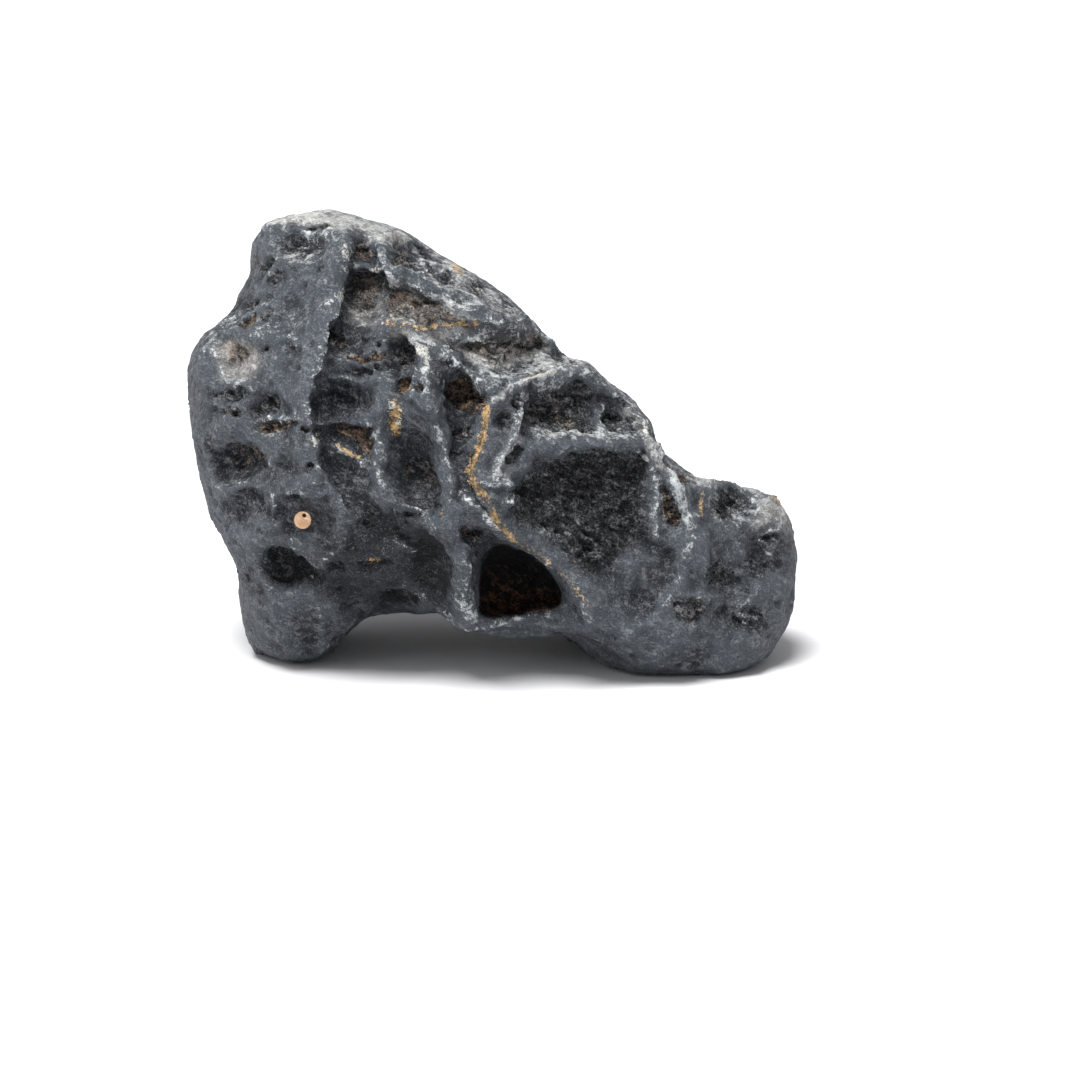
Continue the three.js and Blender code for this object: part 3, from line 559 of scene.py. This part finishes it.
def baked_modifiers(mesh, modifiers):
    """A new mesh: the old one with the modifiers, given as (kind, settings), applied in order."""
    draft = bpy.data.objects.new("draft", mesh)
    bpy.context.scene.collection.objects.link(draft)
    for kind, settings in modifiers:
        modifier = draft.modifiers.new(kind.lower(), kind)
        for name, value in settings.items():
            setattr(modifier, name, value)
    evaluated = draft.evaluated_get(bpy.context.evaluated_depsgraph_get())
    baked = bpy.data.meshes.new_from_object(evaluated)
    bpy.data.objects.remove(draft)
    bpy.data.meshes.remove(mesh)
    return baked


def fine_mesh():
    """The CAD solid's facets rounded into one even fine mesh."""
    mesh = NODE.data.copy()
    work = bmesh.new()
    work.from_mesh(mesh)
    bmesh.ops.remove_doubles(work, verts=work.verts, dist=WELD)
    bmesh.ops.join_triangles(
        work, faces=work.faces, angle_face_threshold=math.pi, angle_shape_threshold=math.pi
    )
    work.to_mesh(mesh)
    work.free()
    return baked_modifiers(mesh, [
        ("SUBSURF", {"levels": 2, "render_levels": 2}),
        ("REMESH", {"mode": "VOXEL", "voxel_size": VOXEL}),
        ("SMOOTH", {"factor": 0.5, "iterations": 4}),
    ])


def thinned(mesh):
    """Fewer triangles where the surface is plain, so that there are MOST_TRIANGLES at most."""
    triangles = sum(len(face.vertices) - 2 for face in mesh.polygons)
    if triangles <= MOST_TRIANGLES:
        return mesh
    return baked_modifiers(mesh, [("DECIMATE", {"ratio": MOST_TRIANGLES / triangles})])


def front_share(surface):
    """1 where the lay-out of the front applies, 0 on the sides and the back."""
    return (smooth_step(*FRONT_FACING, surface.facing)
            * smooth_step(*FRONT_NEAR, surface.layout[:, 2]))


def near_line(at, line, reach):
    """Numbers of the points within reach of the line's box."""
    low, high = line.min(0) - reach, line.max(0) + reach
    return np.nonzero(((at > low) & (at < high)).all(1))[0]


def wobbled(surface, noise, sizes):
    """Across and up of each point as they look from the eye, moved a little, so that no laid-out
    line comes out smooth."""
    nearer = 1 - surface.layout[:, 2:] * MM / EYE_DISTANCE
    moved = FRAME_CENTRE + (surface.layout[:, :2] - FRAME_CENTRE) / nearer
    for size, amount in sizes:
        moved[:, 0] += amount * noise(surface.points + 11.0, size)
        moved[:, 1] += amount * noise(surface.points + 53.0, size)
    return moved


def bends(surface, noise, size, amount):
    """Offsets in three directions that bend the borders of cells."""
    small, little = SMALL_WARP
    return np.stack([noise(surface.points + k, size) * amount
                     + noise(surface.points - k, small) * little for k in (3.0, 29.0, 71.0)],
                    axis=1)


def laid_hollows(at):
    """How deep the hollows are, how far the ground around them sags, and the masks for rust,
    darkness and broken ground."""
    sunk, apron, rust, hollow, rough = (np.zeros(len(at)) for _ in range(5))
    for depth, wall, slope, rusty, dark, broken, points in HOLLOWS:
        ring = smooth_line(points, closed=True)
        some = near_line(at, ring, 1.0)
        deep = sunken_share(at[some], ring, wall, slope)
        sunk[some] += depth * deep
        if depth > 0:
            reach = APRON_REACH + APRON_SPREAD * depth
            around = near_line(at, ring, reach)
            sag = APRON * depth * sagging(at[around], ring, reach)
            apron[around] = np.maximum(apron[around], sag)
        rust[some] = np.maximum(rust[some], rusty * smooth_step(0.1, 0.7, deep))
        hollow[some] = np.maximum(hollow[some], dark * smooth_step(0.1, 1.0, deep))
        rough[some] = np.maximum(rough[some], broken * smooth_step(0.0, 0.75, deep))
    for dark, broken, soft, points in DARK_AREAS:
        inner = sunken_share(at, smooth_line(points, closed=True), soft, soft)
        hollow = np.maximum(hollow, dark * inner)
        rough = np.maximum(rough, broken * inner)
    return sunk, apron, rust, hollow, rough


def lower_steps(at, sunk):
    """Adds to sunk what lies below each step."""
    for width, drop, points in STEPS:
        line = smooth_line(points)
        some = near_line(at, line, width)
        d, side, along = line_distance(at[some], line)
        fade = smooth_step(0, 0.12, along) * smooth_step(0, 0.12, 1 - along)
        below = np.clip(1 - d / width, 0, 1) ** 1.5 * smooth_step(0, 1.2, d)
        sunk[some] += drop * fade * np.where(side > 0, below, 0)


def laid_crests(at, surface, noise):
    """How high the crests rise and how pale they are."""
    raised, crest = np.zeros(len(at)), np.zeros(len(at))
    for width, height, pale, points in CRESTS:
        line = smooth_line(points)
        width = width * CREST_WIDTH
        some = near_line(at, line, max(width, CREST_PALENESS))
        d, _, along = line_distance(at[some], line)
        fade = smooth_step(-0.04, 0.1, along) * smooth_step(-0.04, 0.1, 1 - along)
        uneven = CREST_HEIGHT + 0.4 * noise(surface.points[some] + 65, 11.0)
        rise = height * fade * uneven * np.clip(1 - d / width, 0, 1) ** 2
        raised[some] = np.maximum(raised[some], rise)
        patchy = 0.25 + 0.95 * smooth_step(-0.5, 0.7, noise(surface.points[some] + 5, 13.0))
        # pale wear and painted highlight along the crest
        worn = pale * fade * patchy * np.clip(1 - d / CREST_PALENESS, 0, 1)
        crest[some] = np.maximum(crest[some], worn)
    return raised, crest


def carve_front(surface, noise, rng):
    """Hollows, steps, crests and scallops of the front. Returns the masks for the material."""
    share = front_share(surface)
    at = wobbled(surface, noise, WAVER)
    sunk, apron, rust, hollow, rough = laid_hollows(at)
    lower_steps(at, sunk)
    raised, crest = laid_crests(at, surface, noise)
    warp = bends(surface, noise, *WARP)
    (size, depth), (small_size, small_depth) = SCALLOPS
    scallops = (depth * (cells(surface.points + warp, size, rng)[0] ** 2 - MEAN_CELL)
                + small_depth * (cells(surface.points - warp, small_size, rng)[0] ** 2 - MEAN_CELL))
    pale_and_lit = np.zeros(len(at))
    for pale, soft, points in PALE_AREAS:
        inner = sunken_share(at, smooth_line(points, closed=True), soft, soft)
        pale_and_lit = np.maximum(pale_and_lit, pale * inner)
    mouth = sunken_share(surface.layout[:, :2], smooth_line(POCKET, closed=True),
                         MOUTH_EDGE, MOUTH_EDGE)
    surface.push(share * (raised - sunk - apron + scallops * (1 - mouth) - MOUTH_DEPTH * mouth))
    return {"rust": share * rust, "hollow": share * hollow, "crest": share * crest,
            "rough": share * rough, "pale_and_lit": share * pale_and_lit}


def cells(points, size, rng):
    """For each point, the distance to the nearest of many scattered seeds and how much farther the
    second nearest is, both as a share of size."""
    low, high = points.min(0) - size, points.max(0) + size
    total = int(np.prod((high - low) / size))
    tree = KDTree(total)
    for number, seed in enumerate(rng.uniform(low, high, size=(total, 3))):
        tree.insert(seed, number)
    tree.balance()
    near = np.array([[found[2] for found in tree.find_n(point, 2)] for point in points]) / size
    return np.minimum(near[:, 0], 1.0), near[:, 1] - near[:, 0]


def pit_depths(surface, places, pits, rng):
    """Depth of many small round pits scattered over the given points."""
    count, sizes, steepness = pits
    depths = np.zeros(len(surface.points))
    tree = KDTree(len(places))
    for number in places:
        tree.insert(surface.points[number], number)
    tree.balance()
    for centre in rng.choice(places, count):
        size = rng.uniform(*sizes) * rng.uniform(0.6, 1)
        depth = size * rng.uniform(*steepness)
        found = tree.find_range(surface.points[centre], size)
        index = np.array([item[1] for item in found], dtype=int)
        r = np.array([item[2] for item in found]) / size
        depths[index] = np.maximum(depths[index], depth * (1 - r**2.6))
    return depths


def carve_elsewhere(surface, noise, rng):
    """Scallops and pits where the lay-out of the front doesn't reach. Returns how pitted and how
    much of a crest each point is."""
    share = 1 - front_share(surface)
    facing_up = smooth_step(0.1, 0.6, surface.normals[:, 2])
    calm = 1 - 0.75 * smooth_step(150, 178, surface.layout[:, 1]) * facing_up
    calm *= 1 - 0.6 * smooth_step(-0.45, 0.0, surface.facing)
    warp = bends(surface, noise, *BACK_WARP)
    height, crest = np.zeros(len(share)), np.zeros(len(share))
    for size, depth, pale in BACK_SCALLOPS:
        near, border = cells(surface.points + warp, size, rng)
        height += depth * (near**2 - MEAN_CELL)
        between = pale * smooth_step(3.5 / size, 0.0, border) * smooth_step(0.2, 0.6, near)
        crest = np.maximum(crest, between)
    crest *= smooth_step(-0.5, 0.6, noise(surface.points + 5, 19.0))
    pits = pit_depths(surface, np.nonzero(share > 0.6)[0], BACK_PITS, rng)
    surface.push(share * calm * (height - pits))
    return share * calm * np.clip(pits / DEEP_PIT, 0, 1), share * calm * crest


def roughen(surface, noise, broken, rng):
    """Broken, layered stone in the hollows and softly uneven, pitted stone on the worn faces.
    Returns how rough each point is."""
    points = surface.points
    patch = noise(points + 57, 17.0)
    rough = np.clip(broken + smooth_step(0.35, 0.9, patch) * 0.5, 0, 1)
    warped = points + 2.0 * noise(points + 5, 9.0)[:, None]
    bedded = np.stack([points @ ACROSS * 0.35 + points @ UP * 0.1,
                       points @ UP + points @ ACROSS * 0.4, points @ NEAR], axis=1)
    pattern = {
        "broad": noise.layered(points + 17, 26.0, 3),
        "small": cells(warped, 6.5, rng)[0] ** 2 - MEAN_CELL,
        "crumbs": noise.ridges(points + 91, 4.6) + 0.6 * noise.ridges(points + 7, 2.3),
        "streaks": noise.ridges(bedded + 31, 3.6) + 0.5 * noise.ridges(bedded + 77, 1.9),
    }
    height = sum((worn + more * rough) * pattern[name] for name, (worn, more) in UNEVENNESS.items())
    surface.push(height - pit_depths(surface, np.arange(len(points)), FINE_PITS, rng))
    return rough


def spot(at, patches, sharp=0.5):
    """1 inside the given ellipses, falling off across their edges."""
    mask = np.zeros(len(at))
    for a, b, size_a, size_b in patches:
        r = np.hypot((at[:, 0] - a) / size_a, (at[:, 1] - b) / size_b)
        mask = np.maximum(mask, 1 - smooth_step(sharp, 2 - sharp, r))
    return mask


def vein_mask(surface, noise):
    at = wobbled(surface, noise, FINE_WAVER)
    mask = np.zeros(len(at))
    for width, strength, points in VEINS:
        line = smooth_line(points)
        some = near_line(at, line, width * 2.5)
        d, _, _ = line_distance(at[some], line)
        strong = strength * (1 - smooth_step(0.3, 1.9, d / width))
        mask[some] = np.maximum(mask[some], strong)
    return mask


def build_stone():
    surface = Surface(fine_mesh())
    noise = Noise(SEED)
    rng = np.random.RandomState(SEED)
    masks = carve_front(surface, noise, rng)
    pitted, crest = carve_elsewhere(surface, noise, rng)
    masks["crest"] = np.maximum(masks["crest"], crest)
    masks["hollow"] = np.maximum(masks["hollow"], 0.5 * pitted)
    masks["rough"] = roughen(surface, noise, np.maximum(masks["rough"], pitted), rng)
    share = front_share(surface)
    upward = surface.normals[:, 2]
    masks["up"] = 0.5 + 0.5 * surface.spread(upward, 25)
    masks["lit"] = 0.5 + 0.5 * surface.spread(upward, 2)
    masks["sharp"] = smooth_step(0.0, 0.5, surface.relief(4))
    masks["proud"] = smooth_step(-1.1, 1.1, surface.relief(60))
    masks["vein"] = vein_mask(surface, noise) * share
    masks["pale"] = spot(wobbled(surface, noise, PATCH_WAVER), PALE_PATCHES) * share
    front = surface.layout[:, :2]
    masks["disc"] = spot(front, [(*DISC[:2], 2 * DISC[2], 2 * DISC[2])], 0.9) * share
    # how far inside the pocket's mouth a point lies, for its painted shade
    masks["pocket"] = sunken_share(front, smooth_line(POCKET, closed=True),
                                   MOUTH_SHADE, MOUTH_SHADE)
    for name, values in masks.items():
        surface.store(name, values)
    # Nothing reaches below the table, neither before the mesh is thinned nor after.
    surface.points[:, 2] = np.maximum(surface.points[:, 2], 0.0)
    surface.refresh()
    mesh = thinned(surface.mesh)
    for vertex in mesh.vertices:
        vertex.co.z = max(vertex.co.z, 0.0)
    mesh.materials.clear()
    mesh.materials.append(stone_material(tuple(masks)))
    mesh.shade_smooth()
    stone = bpy.data.objects.new("stone_surface", mesh)
    bpy.context.scene.collection.objects.link(stone)
    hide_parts("stone")
    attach(stone, "root")


# ---- Material ----------------------------------------------------------------

NOISES = {  # scale per metre, detail, roughness
    "clouds": (20.0, 4.0, 0.6),
    "mottle": (130.0, 5.0, 0.7),
    "lumps": (330.0, 6.0, 0.75),
    "streaks": (420.0, 5.0, 0.7),
    "grit": (1100.0, 3.0, 0.7),
    "salt": (1500.0, 2.0, 0.6),
}
COLOURS = {  # as display values from 0 to 255; a pair is mixed between
    # dark tone, mostly painted shade for ground that lies lower than its surroundings
    "dark tone and recess shade": (26, 30, 36),
    "worn grey": (79, 85, 92),
    "worn speckle": (112, 118, 124),
    "rough": ((50, 53, 60), (132, 134, 137)),
    # paler stone, and painted light for shaded hollows and the brow
    "pale_and_lit": ((140, 139, 138), (208, 204, 198)),
    # painted shade in the crevices of the fine relief
    "crevice_shade": (18, 18, 20),
    "grain": (152, 155, 158),
    "shade": (24, 25, 29),
    "glint": (140, 141, 142),
    "rust": ((70, 58, 50), (176, 142, 112)),
    # a lighter band along the crests: wear and painted highlight
    "ridge": (122, 128, 133),
    # pale dust, and painted top light on what faces up
    "dust_and_toplight": ((186, 190, 191), (212, 212, 208)),
    # pale wear and painted highlight on the crests' cores
    "crest": (202, 206, 207),
    "vein": ((96, 84, 60), (230, 188, 128)),
    "pale": (222, 220, 213),
    "salt": (168, 170, 170),
    "pepper": (20, 21, 25),
    "disc": ((255, 214, 176), (244, 194, 152)),
    "disc hole": (30, 24, 20),
    # painted shade inside the pocket's mouth: near black, brown where its floor faces up
    "pocket": ((7, 7, 8), (104, 70, 48)),
}
BUMP_DEPTH = 0.0022
SHINE = 0.25


def srgb(red, green, blue):
    """A colour given as 0 to 255 display values."""
    return tuple((v / 255 / 12.92 if v <= 10 else ((v / 255 + 0.055) / 1.055) ** 2.4)
                 for v in (red, green, blue)) + (1.0,)


class Nodes:
    """Short calls for making and linking the nodes of one tree."""

    def __init__(self, tree):
        self.tree = tree

    def add(self, kind, inputs=None, **settings):
        node = self.tree.nodes.new(kind)
        for name, value in settings.items():
            setattr(node, name, value)
        for name, value in (inputs or {}).items():
            self.feed(node.inputs[name], value)
        return node

    def feed(self, socket, value):
        if isinstance(value, bpy.types.NodeSocket):
            self.tree.links.new(value, socket)
        else:
            socket.default_value = value

    def attribute(self, name):
        return self.add("ShaderNodeAttribute", attribute_name=name).outputs["Fac"]

    def noise(self, place, name):
        scale, detail, roughness = NOISES[name]
        inputs = {"Vector": place, "Scale": scale, "Detail": detail, "Roughness": roughness}
        return self.add("ShaderNodeTexNoise", inputs).outputs["Fac"]

    def along(self, place, direction):
        """How far a place lies in a direction."""
        inputs = {0: place, 1: tuple(direction)}
        dot = self.add("ShaderNodeVectorMath", inputs, operation="DOT_PRODUCT")
        return dot.outputs["Value"]

    def bedded(self, place):
        """Coordinates drawn out along the stone's bedding, which runs down to the right."""
        directions = ((ACROSS - 0.4 * UP) * 0.3, UP + 0.4 * ACROSS, NEAR)
        parts = [self.along(place, direction) for direction in directions]
        return self.add("ShaderNodeCombineXYZ", dict(zip("XYZ", parts))).outputs[0]

    def math(self, operation, a, b=0.0):
        return self.add("ShaderNodeMath", {0: a, 1: b}, operation=operation).outputs[0]

    def total(self, *terms):
        """Sum of values, each given as it is or as (value, share)."""
        result = 0.0
        for term in terms:
            value = self.math("MULTIPLY", *term) if isinstance(term, tuple) else term
            result = self.math("ADD", value, result)
        return result

    def span(self, value, low, high, new_low=0.0, new_high=1.0):
        """A smooth change from new_low to new_high as value goes from low to high."""
        inputs = {"Value": value, "From Min": low, "From Max": high,
                  "To Min": new_low, "To Max": new_high}
        node = self.add("ShaderNodeMapRange", inputs, interpolation_type="SMOOTHSTEP")
        return node.outputs["Result"]

    def round_patch(self, place, across, up, radius):
        """1 within radius of a laid-out point, whatever its depth; the sizes are in mm."""
        offset = []
        for axis, at in ((ACROSS, across), (UP, up)):
            there = (at - LAYOUT_SHIFT @ axis) * MM
            away = self.math("SUBTRACT", self.along(place, axis), there)
            offset.append(self.math("POWER", away, 2.0))
        distance = self.math("SQRT", self.math("ADD", *offset))
        return self.span(distance, (radius - DISC_EDGE) * MM, (radius + DISC_EDGE) * MM, 1.0, 0.0)

    def mix(self, share, a, b):
        node = self.add("ShaderNodeMix", data_type="RGBA")
        self.feed(node.inputs["Factor"], share)
        self.feed(node.inputs[6], a)
        self.feed(node.inputs[7], b)
        return node.outputs[2]

    def colour(self, name, share=None):
        """A colour of the table; of a pair, the mix of the two by share."""
        if share is None:
            return srgb(*COLOURS[name])
        low, high = COLOURS[name]
        return self.mix(share, srgb(*low), srgb(*high))


def patterns(n, place):
    """The patterns that the colours and the bumps share, each 0 to 1, from broad to fine."""
    lumps, grit = n.noise(place, "lumps"), n.noise(place, "grit")
    streaks = n.noise(n.bedded(place), "streaks")
    return {
        "clouds": n.span(n.noise(place, "clouds"), 0.4, 0.6),
        "mottle": n.span(n.noise(place, "mottle"), 0.38, 0.62),
        "flecks": n.span(lumps, 0.42, 0.58),
        "relief": n.span(n.total((lumps, 0.35), (streaks, 0.3), (grit, 0.35)), 0.42, 0.58),
        "salt": n.noise(place, "salt"),
    }


def ground_colour(n, mask, pattern, broken):
    """The bare stone: blue-grey where worn, speckled where broken. Painted shade darkens the broad
    recesses, the crevices and the hollows, and painted glints light the broken ground.
    """
    mottle, relief = pattern["mottle"], pattern["relief"]
    # painted shade: darker where the ground lies lower than around it, with some random cloudy tone
    high = n.span(n.total((mask["proud"], 0.75), (pattern["clouds"], 0.25)), 0.1, 0.9)
    colour = n.mix(high, n.colour("dark tone and recess shade"), n.colour("worn grey"))
    speckle = n.span(n.total((mottle, 0.5), (relief, 0.5)), 0.4, 0.9, 0.0, 0.25)
    colour = n.mix(speckle, colour, n.colour("worn speckle"))
    rough = n.span(n.total((mask["rough"], 0.5), (mottle, 0.25)), 0.15, 0.65, 0.0, 0.85)
    colour = n.mix(rough, colour, n.colour("rough", relief))
    # paler stone, partly painted light that lifts shaded hollows and the brow
    pale_and_lit = n.math("MULTIPLY", mask["pale_and_lit"], n.span(mottle, 0.0, 0.6, 0.5, 0.9))
    colour = n.mix(pale_and_lit, colour, n.colour("pale_and_lit", relief))
    # painted shade in the low crevices of the fine relief, more on broken ground
    crevice_shade = n.math("MULTIPLY", n.span(relief, 0.45, 0.12), n.span(broken, 0, 1, 0.25, 0.8))
    colour = n.mix(crevice_shade, colour, n.colour("crevice_shade"))
    grain = n.math("MULTIPLY", n.span(relief, 0.55, 0.9), n.span(broken, 0, 1, 0.14, 0.5))
    colour = n.mix(grain, colour, n.colour("grain"))
    shade = n.span(n.total((mask["hollow"], 0.9), (mottle, 0.1)), 0.1, 0.85, 0.0, 0.86)
    colour = n.mix(shade, colour, n.colour("shade"))
    # painted glints on the high points of the fine relief, mostly on broken ground
    glint = n.math("MULTIPLY", n.span(relief, 0.5, 0.9), n.span(broken, 0, 1, 0.02, 0.42))
    return n.mix(glint, colour, n.colour("glint"))


def weathered(n, colour, mask, pattern):
    """Rust in the hollows, pale wear and painted highlight on the crests, and dust and painted
    top light on what faces up.
    """
    mottle, relief, flecks = pattern["mottle"], pattern["relief"], pattern["flecks"]
    rust = n.total((mask["rust"], 0.5), (mask["lit"], 0.3), (mottle, 0.3), (relief, 0.5))
    rust = n.math("MULTIPLY", n.span(rust, 0.76, 0.98), n.span(mask["rust"], 0.05, 0.5, 0.0, 0.75))
    colour = n.mix(rust, colour, n.colour("rust", relief))
    # a lighter band along the crests: pale wear and painted highlight
    ridge = n.span(flecks, 0.0, 0.8, 0.35, 0.7)
    ridge = n.math("MULTIPLY", n.span(mask["crest"], 0.05, 0.85), ridge)
    colour = n.mix(ridge, colour, n.colour("ridge"))
    # dust and painted light: paler on what faces up and on the lit upward slopes
    dust_and_toplight = n.total((mask["up"], 2.2), (mask["lit"], 0.45), (mask["proud"], 0.3), (mottle, 0.15),
                   (flecks, 0.2), (relief, 0.3))
    colour = n.mix(n.span(dust_and_toplight, 2.75, 3.4, 0.0, 0.85), colour, n.colour("dust_and_toplight", pattern["clouds"]))
    # pale wear and painted highlight on the sharp, lit crest cores
    crest = n.total((mask["crest"], 0.8), (mask["sharp"], 0.2), (mask["lit"], 0.1), (mottle, 0.1),
                    (flecks, 0.25), (relief, 0.6))
    return n.mix(n.span(crest, 1.04, 1.42, 0.0, 0.88), colour, n.colour("crest"))


def marked(n, colour, mask, pattern, place):
    """Veins, mineral patches, light and dark grains, the orange spot, and painted shade inside
    the pocket.
    """
    mottle, relief, salt = pattern["mottle"], pattern["relief"], pattern["salt"]
    vein = n.span(n.total((mask["vein"], 0.6), (relief, 0.5)), 0.46, 0.84, 0.0, 0.92)
    colour = n.mix(vein, colour, n.colour("vein", n.total((relief, 0.6), (mottle, 0.4))))
    pale = n.span(n.total((mask["pale"], 0.7), (relief, 0.7)), 0.72, 1.1, 0.0, 0.95)
    colour = n.mix(pale, colour, n.colour("pale"))
    bright = n.span(n.total(salt, (mottle, 0.08)), 0.61, 0.71, 0.0, 0.22)
    colour = n.mix(bright, colour, n.colour("salt"))
    colour = n.mix(n.span(salt, 0.42, 0.34, 0.0, 0.35), colour, n.colour("pepper"))
    disc = n.math("MULTIPLY", n.round_patch(place, *DISC), mask["disc"])
    colour = n.mix(disc, colour, n.colour("disc", mottle))
    hole = n.math("MULTIPLY", n.round_patch(place, *DISC_HOLE), mask["disc"])
    colour = n.mix(hole, colour, n.colour("disc hole"))
    # painted shade inside the pocket's mouth: near black, brown on the floor that faces up
    inside = n.span(n.total((relief, 0.8), (mask["up"], 1.0)), 1.0, 1.7)
    return n.mix(n.math("MULTIPLY", mask["pocket"], 0.92), colour, n.colour("pocket", inside))


def stone_material(names):
    """The one material of the stone; it reads the masks of the given names."""
    material = bpy.data.materials.new("hakkai_stone")
    material.use_nodes = True
    material.node_tree.nodes.clear()
    n = Nodes(material.node_tree)
    place = n.add("ShaderNodeTexCoord").outputs["Object"]
    mask = {name: n.attribute(name) for name in names}
    pattern = patterns(n, place)
    broken = n.span(mask["rough"], 0.1, 0.8)
    colour = ground_colour(n, mask, pattern, broken)
    colour = weathered(n, colour, mask, pattern)
    colour = marked(n, colour, mask, pattern, place)
    height = n.math("MULTIPLY", pattern["relief"], n.span(broken, 0, 1, 0.22, 1.0))
    bump = n.add("ShaderNodeBump", {"Height": height, "Strength": 1.0, "Distance": BUMP_DEPTH})
    dull = n.total((pattern["mottle"], 0.4), (mask["rough"], 0.4))
    shader = n.add("ShaderNodeBsdfPrincipled", {
        "Base Color": colour,
        "Roughness": n.span(dull, 0.1, 0.6, 0.5, 0.8),
        "Specular IOR Level": SHINE,
        "Normal": bump.outputs["Normal"],
    })
    n.add("ShaderNodeOutputMaterial", {"Surface": shader.outputs["BSDF"]})
    return material


# ---- Stage -------------------------------------------------------------------


def from_layout(across, up, near):
    """A lay-out point, in mm, as a point of the shared frame, in metres."""
    point = across * ACROSS + up * UP + near * NEAR - LAYOUT_SHIFT
    return Vector(point * MM)


def add_camera():
    camera = bpy.data.objects.new("camera", bpy.data.cameras.new("camera"))
    camera.data.lens, camera.data.sensor_width = LENS, SENSOR
    camera.data.clip_end = CLIP_END
    bpy.context.scene.collection.objects.link(camera)
    camera.location = from_layout(*FRAME_CENTRE, EYE_DISTANCE / MM)
    camera.rotation_euler = Vector(-NEAR).to_track_quat("-Z", "Y").to_euler()
    bpy.context.scene.camera = camera


def add_floor():
    bpy.ops.mesh.primitive_plane_add(size=FLOOR_SIZE)
    floor = bpy.context.active_object
    floor.name = "floor"
    material = bpy.data.materials.new("floor")
    material.use_nodes = True
    shader = material.node_tree.nodes["Principled BSDF"]
    shade = (FLOOR_SHADE, FLOOR_SHADE, FLOOR_SHADE * 1.02, 1)
    shader.inputs["Base Color"].default_value = shade
    shader.inputs["Roughness"].default_value = 0.9
    shader.inputs["Specular IOR Level"].default_value = 0.1
    floor.data.materials.append(material)


def add_lights():
    """Far, soft suns, and an even light from a world that looks white behind the stone."""
    world = bpy.data.worlds.new("studio")
    bpy.context.scene.world = world
    world.use_nodes = True
    background = world.node_tree.nodes["Background"]
    background.inputs["Color"].default_value = (1, 1, 1, 1)
    n = Nodes(world.node_tree)
    seen = n.add("ShaderNodeLightPath").outputs["Is Camera Ray"]
    n.feed(background.inputs["Strength"], n.total(WORLD_LIGHT, (seen, BACKDROP - WORLD_LIGHT)))
    for name, towards, strength, softness in SUNS:
        light = bpy.data.objects.new(name, bpy.data.lights.new(name, "SUN"))
        light.data.energy, light.data.angle = strength, math.radians(softness)
        light.rotation_euler = Vector(towards).to_track_quat("-Z", "Y").to_euler()
        bpy.context.scene.collection.objects.link(light)


build_stone()
add_floor()
add_camera()
add_lights()
bpy.context.scene.view_settings.view_transform = "Standard"
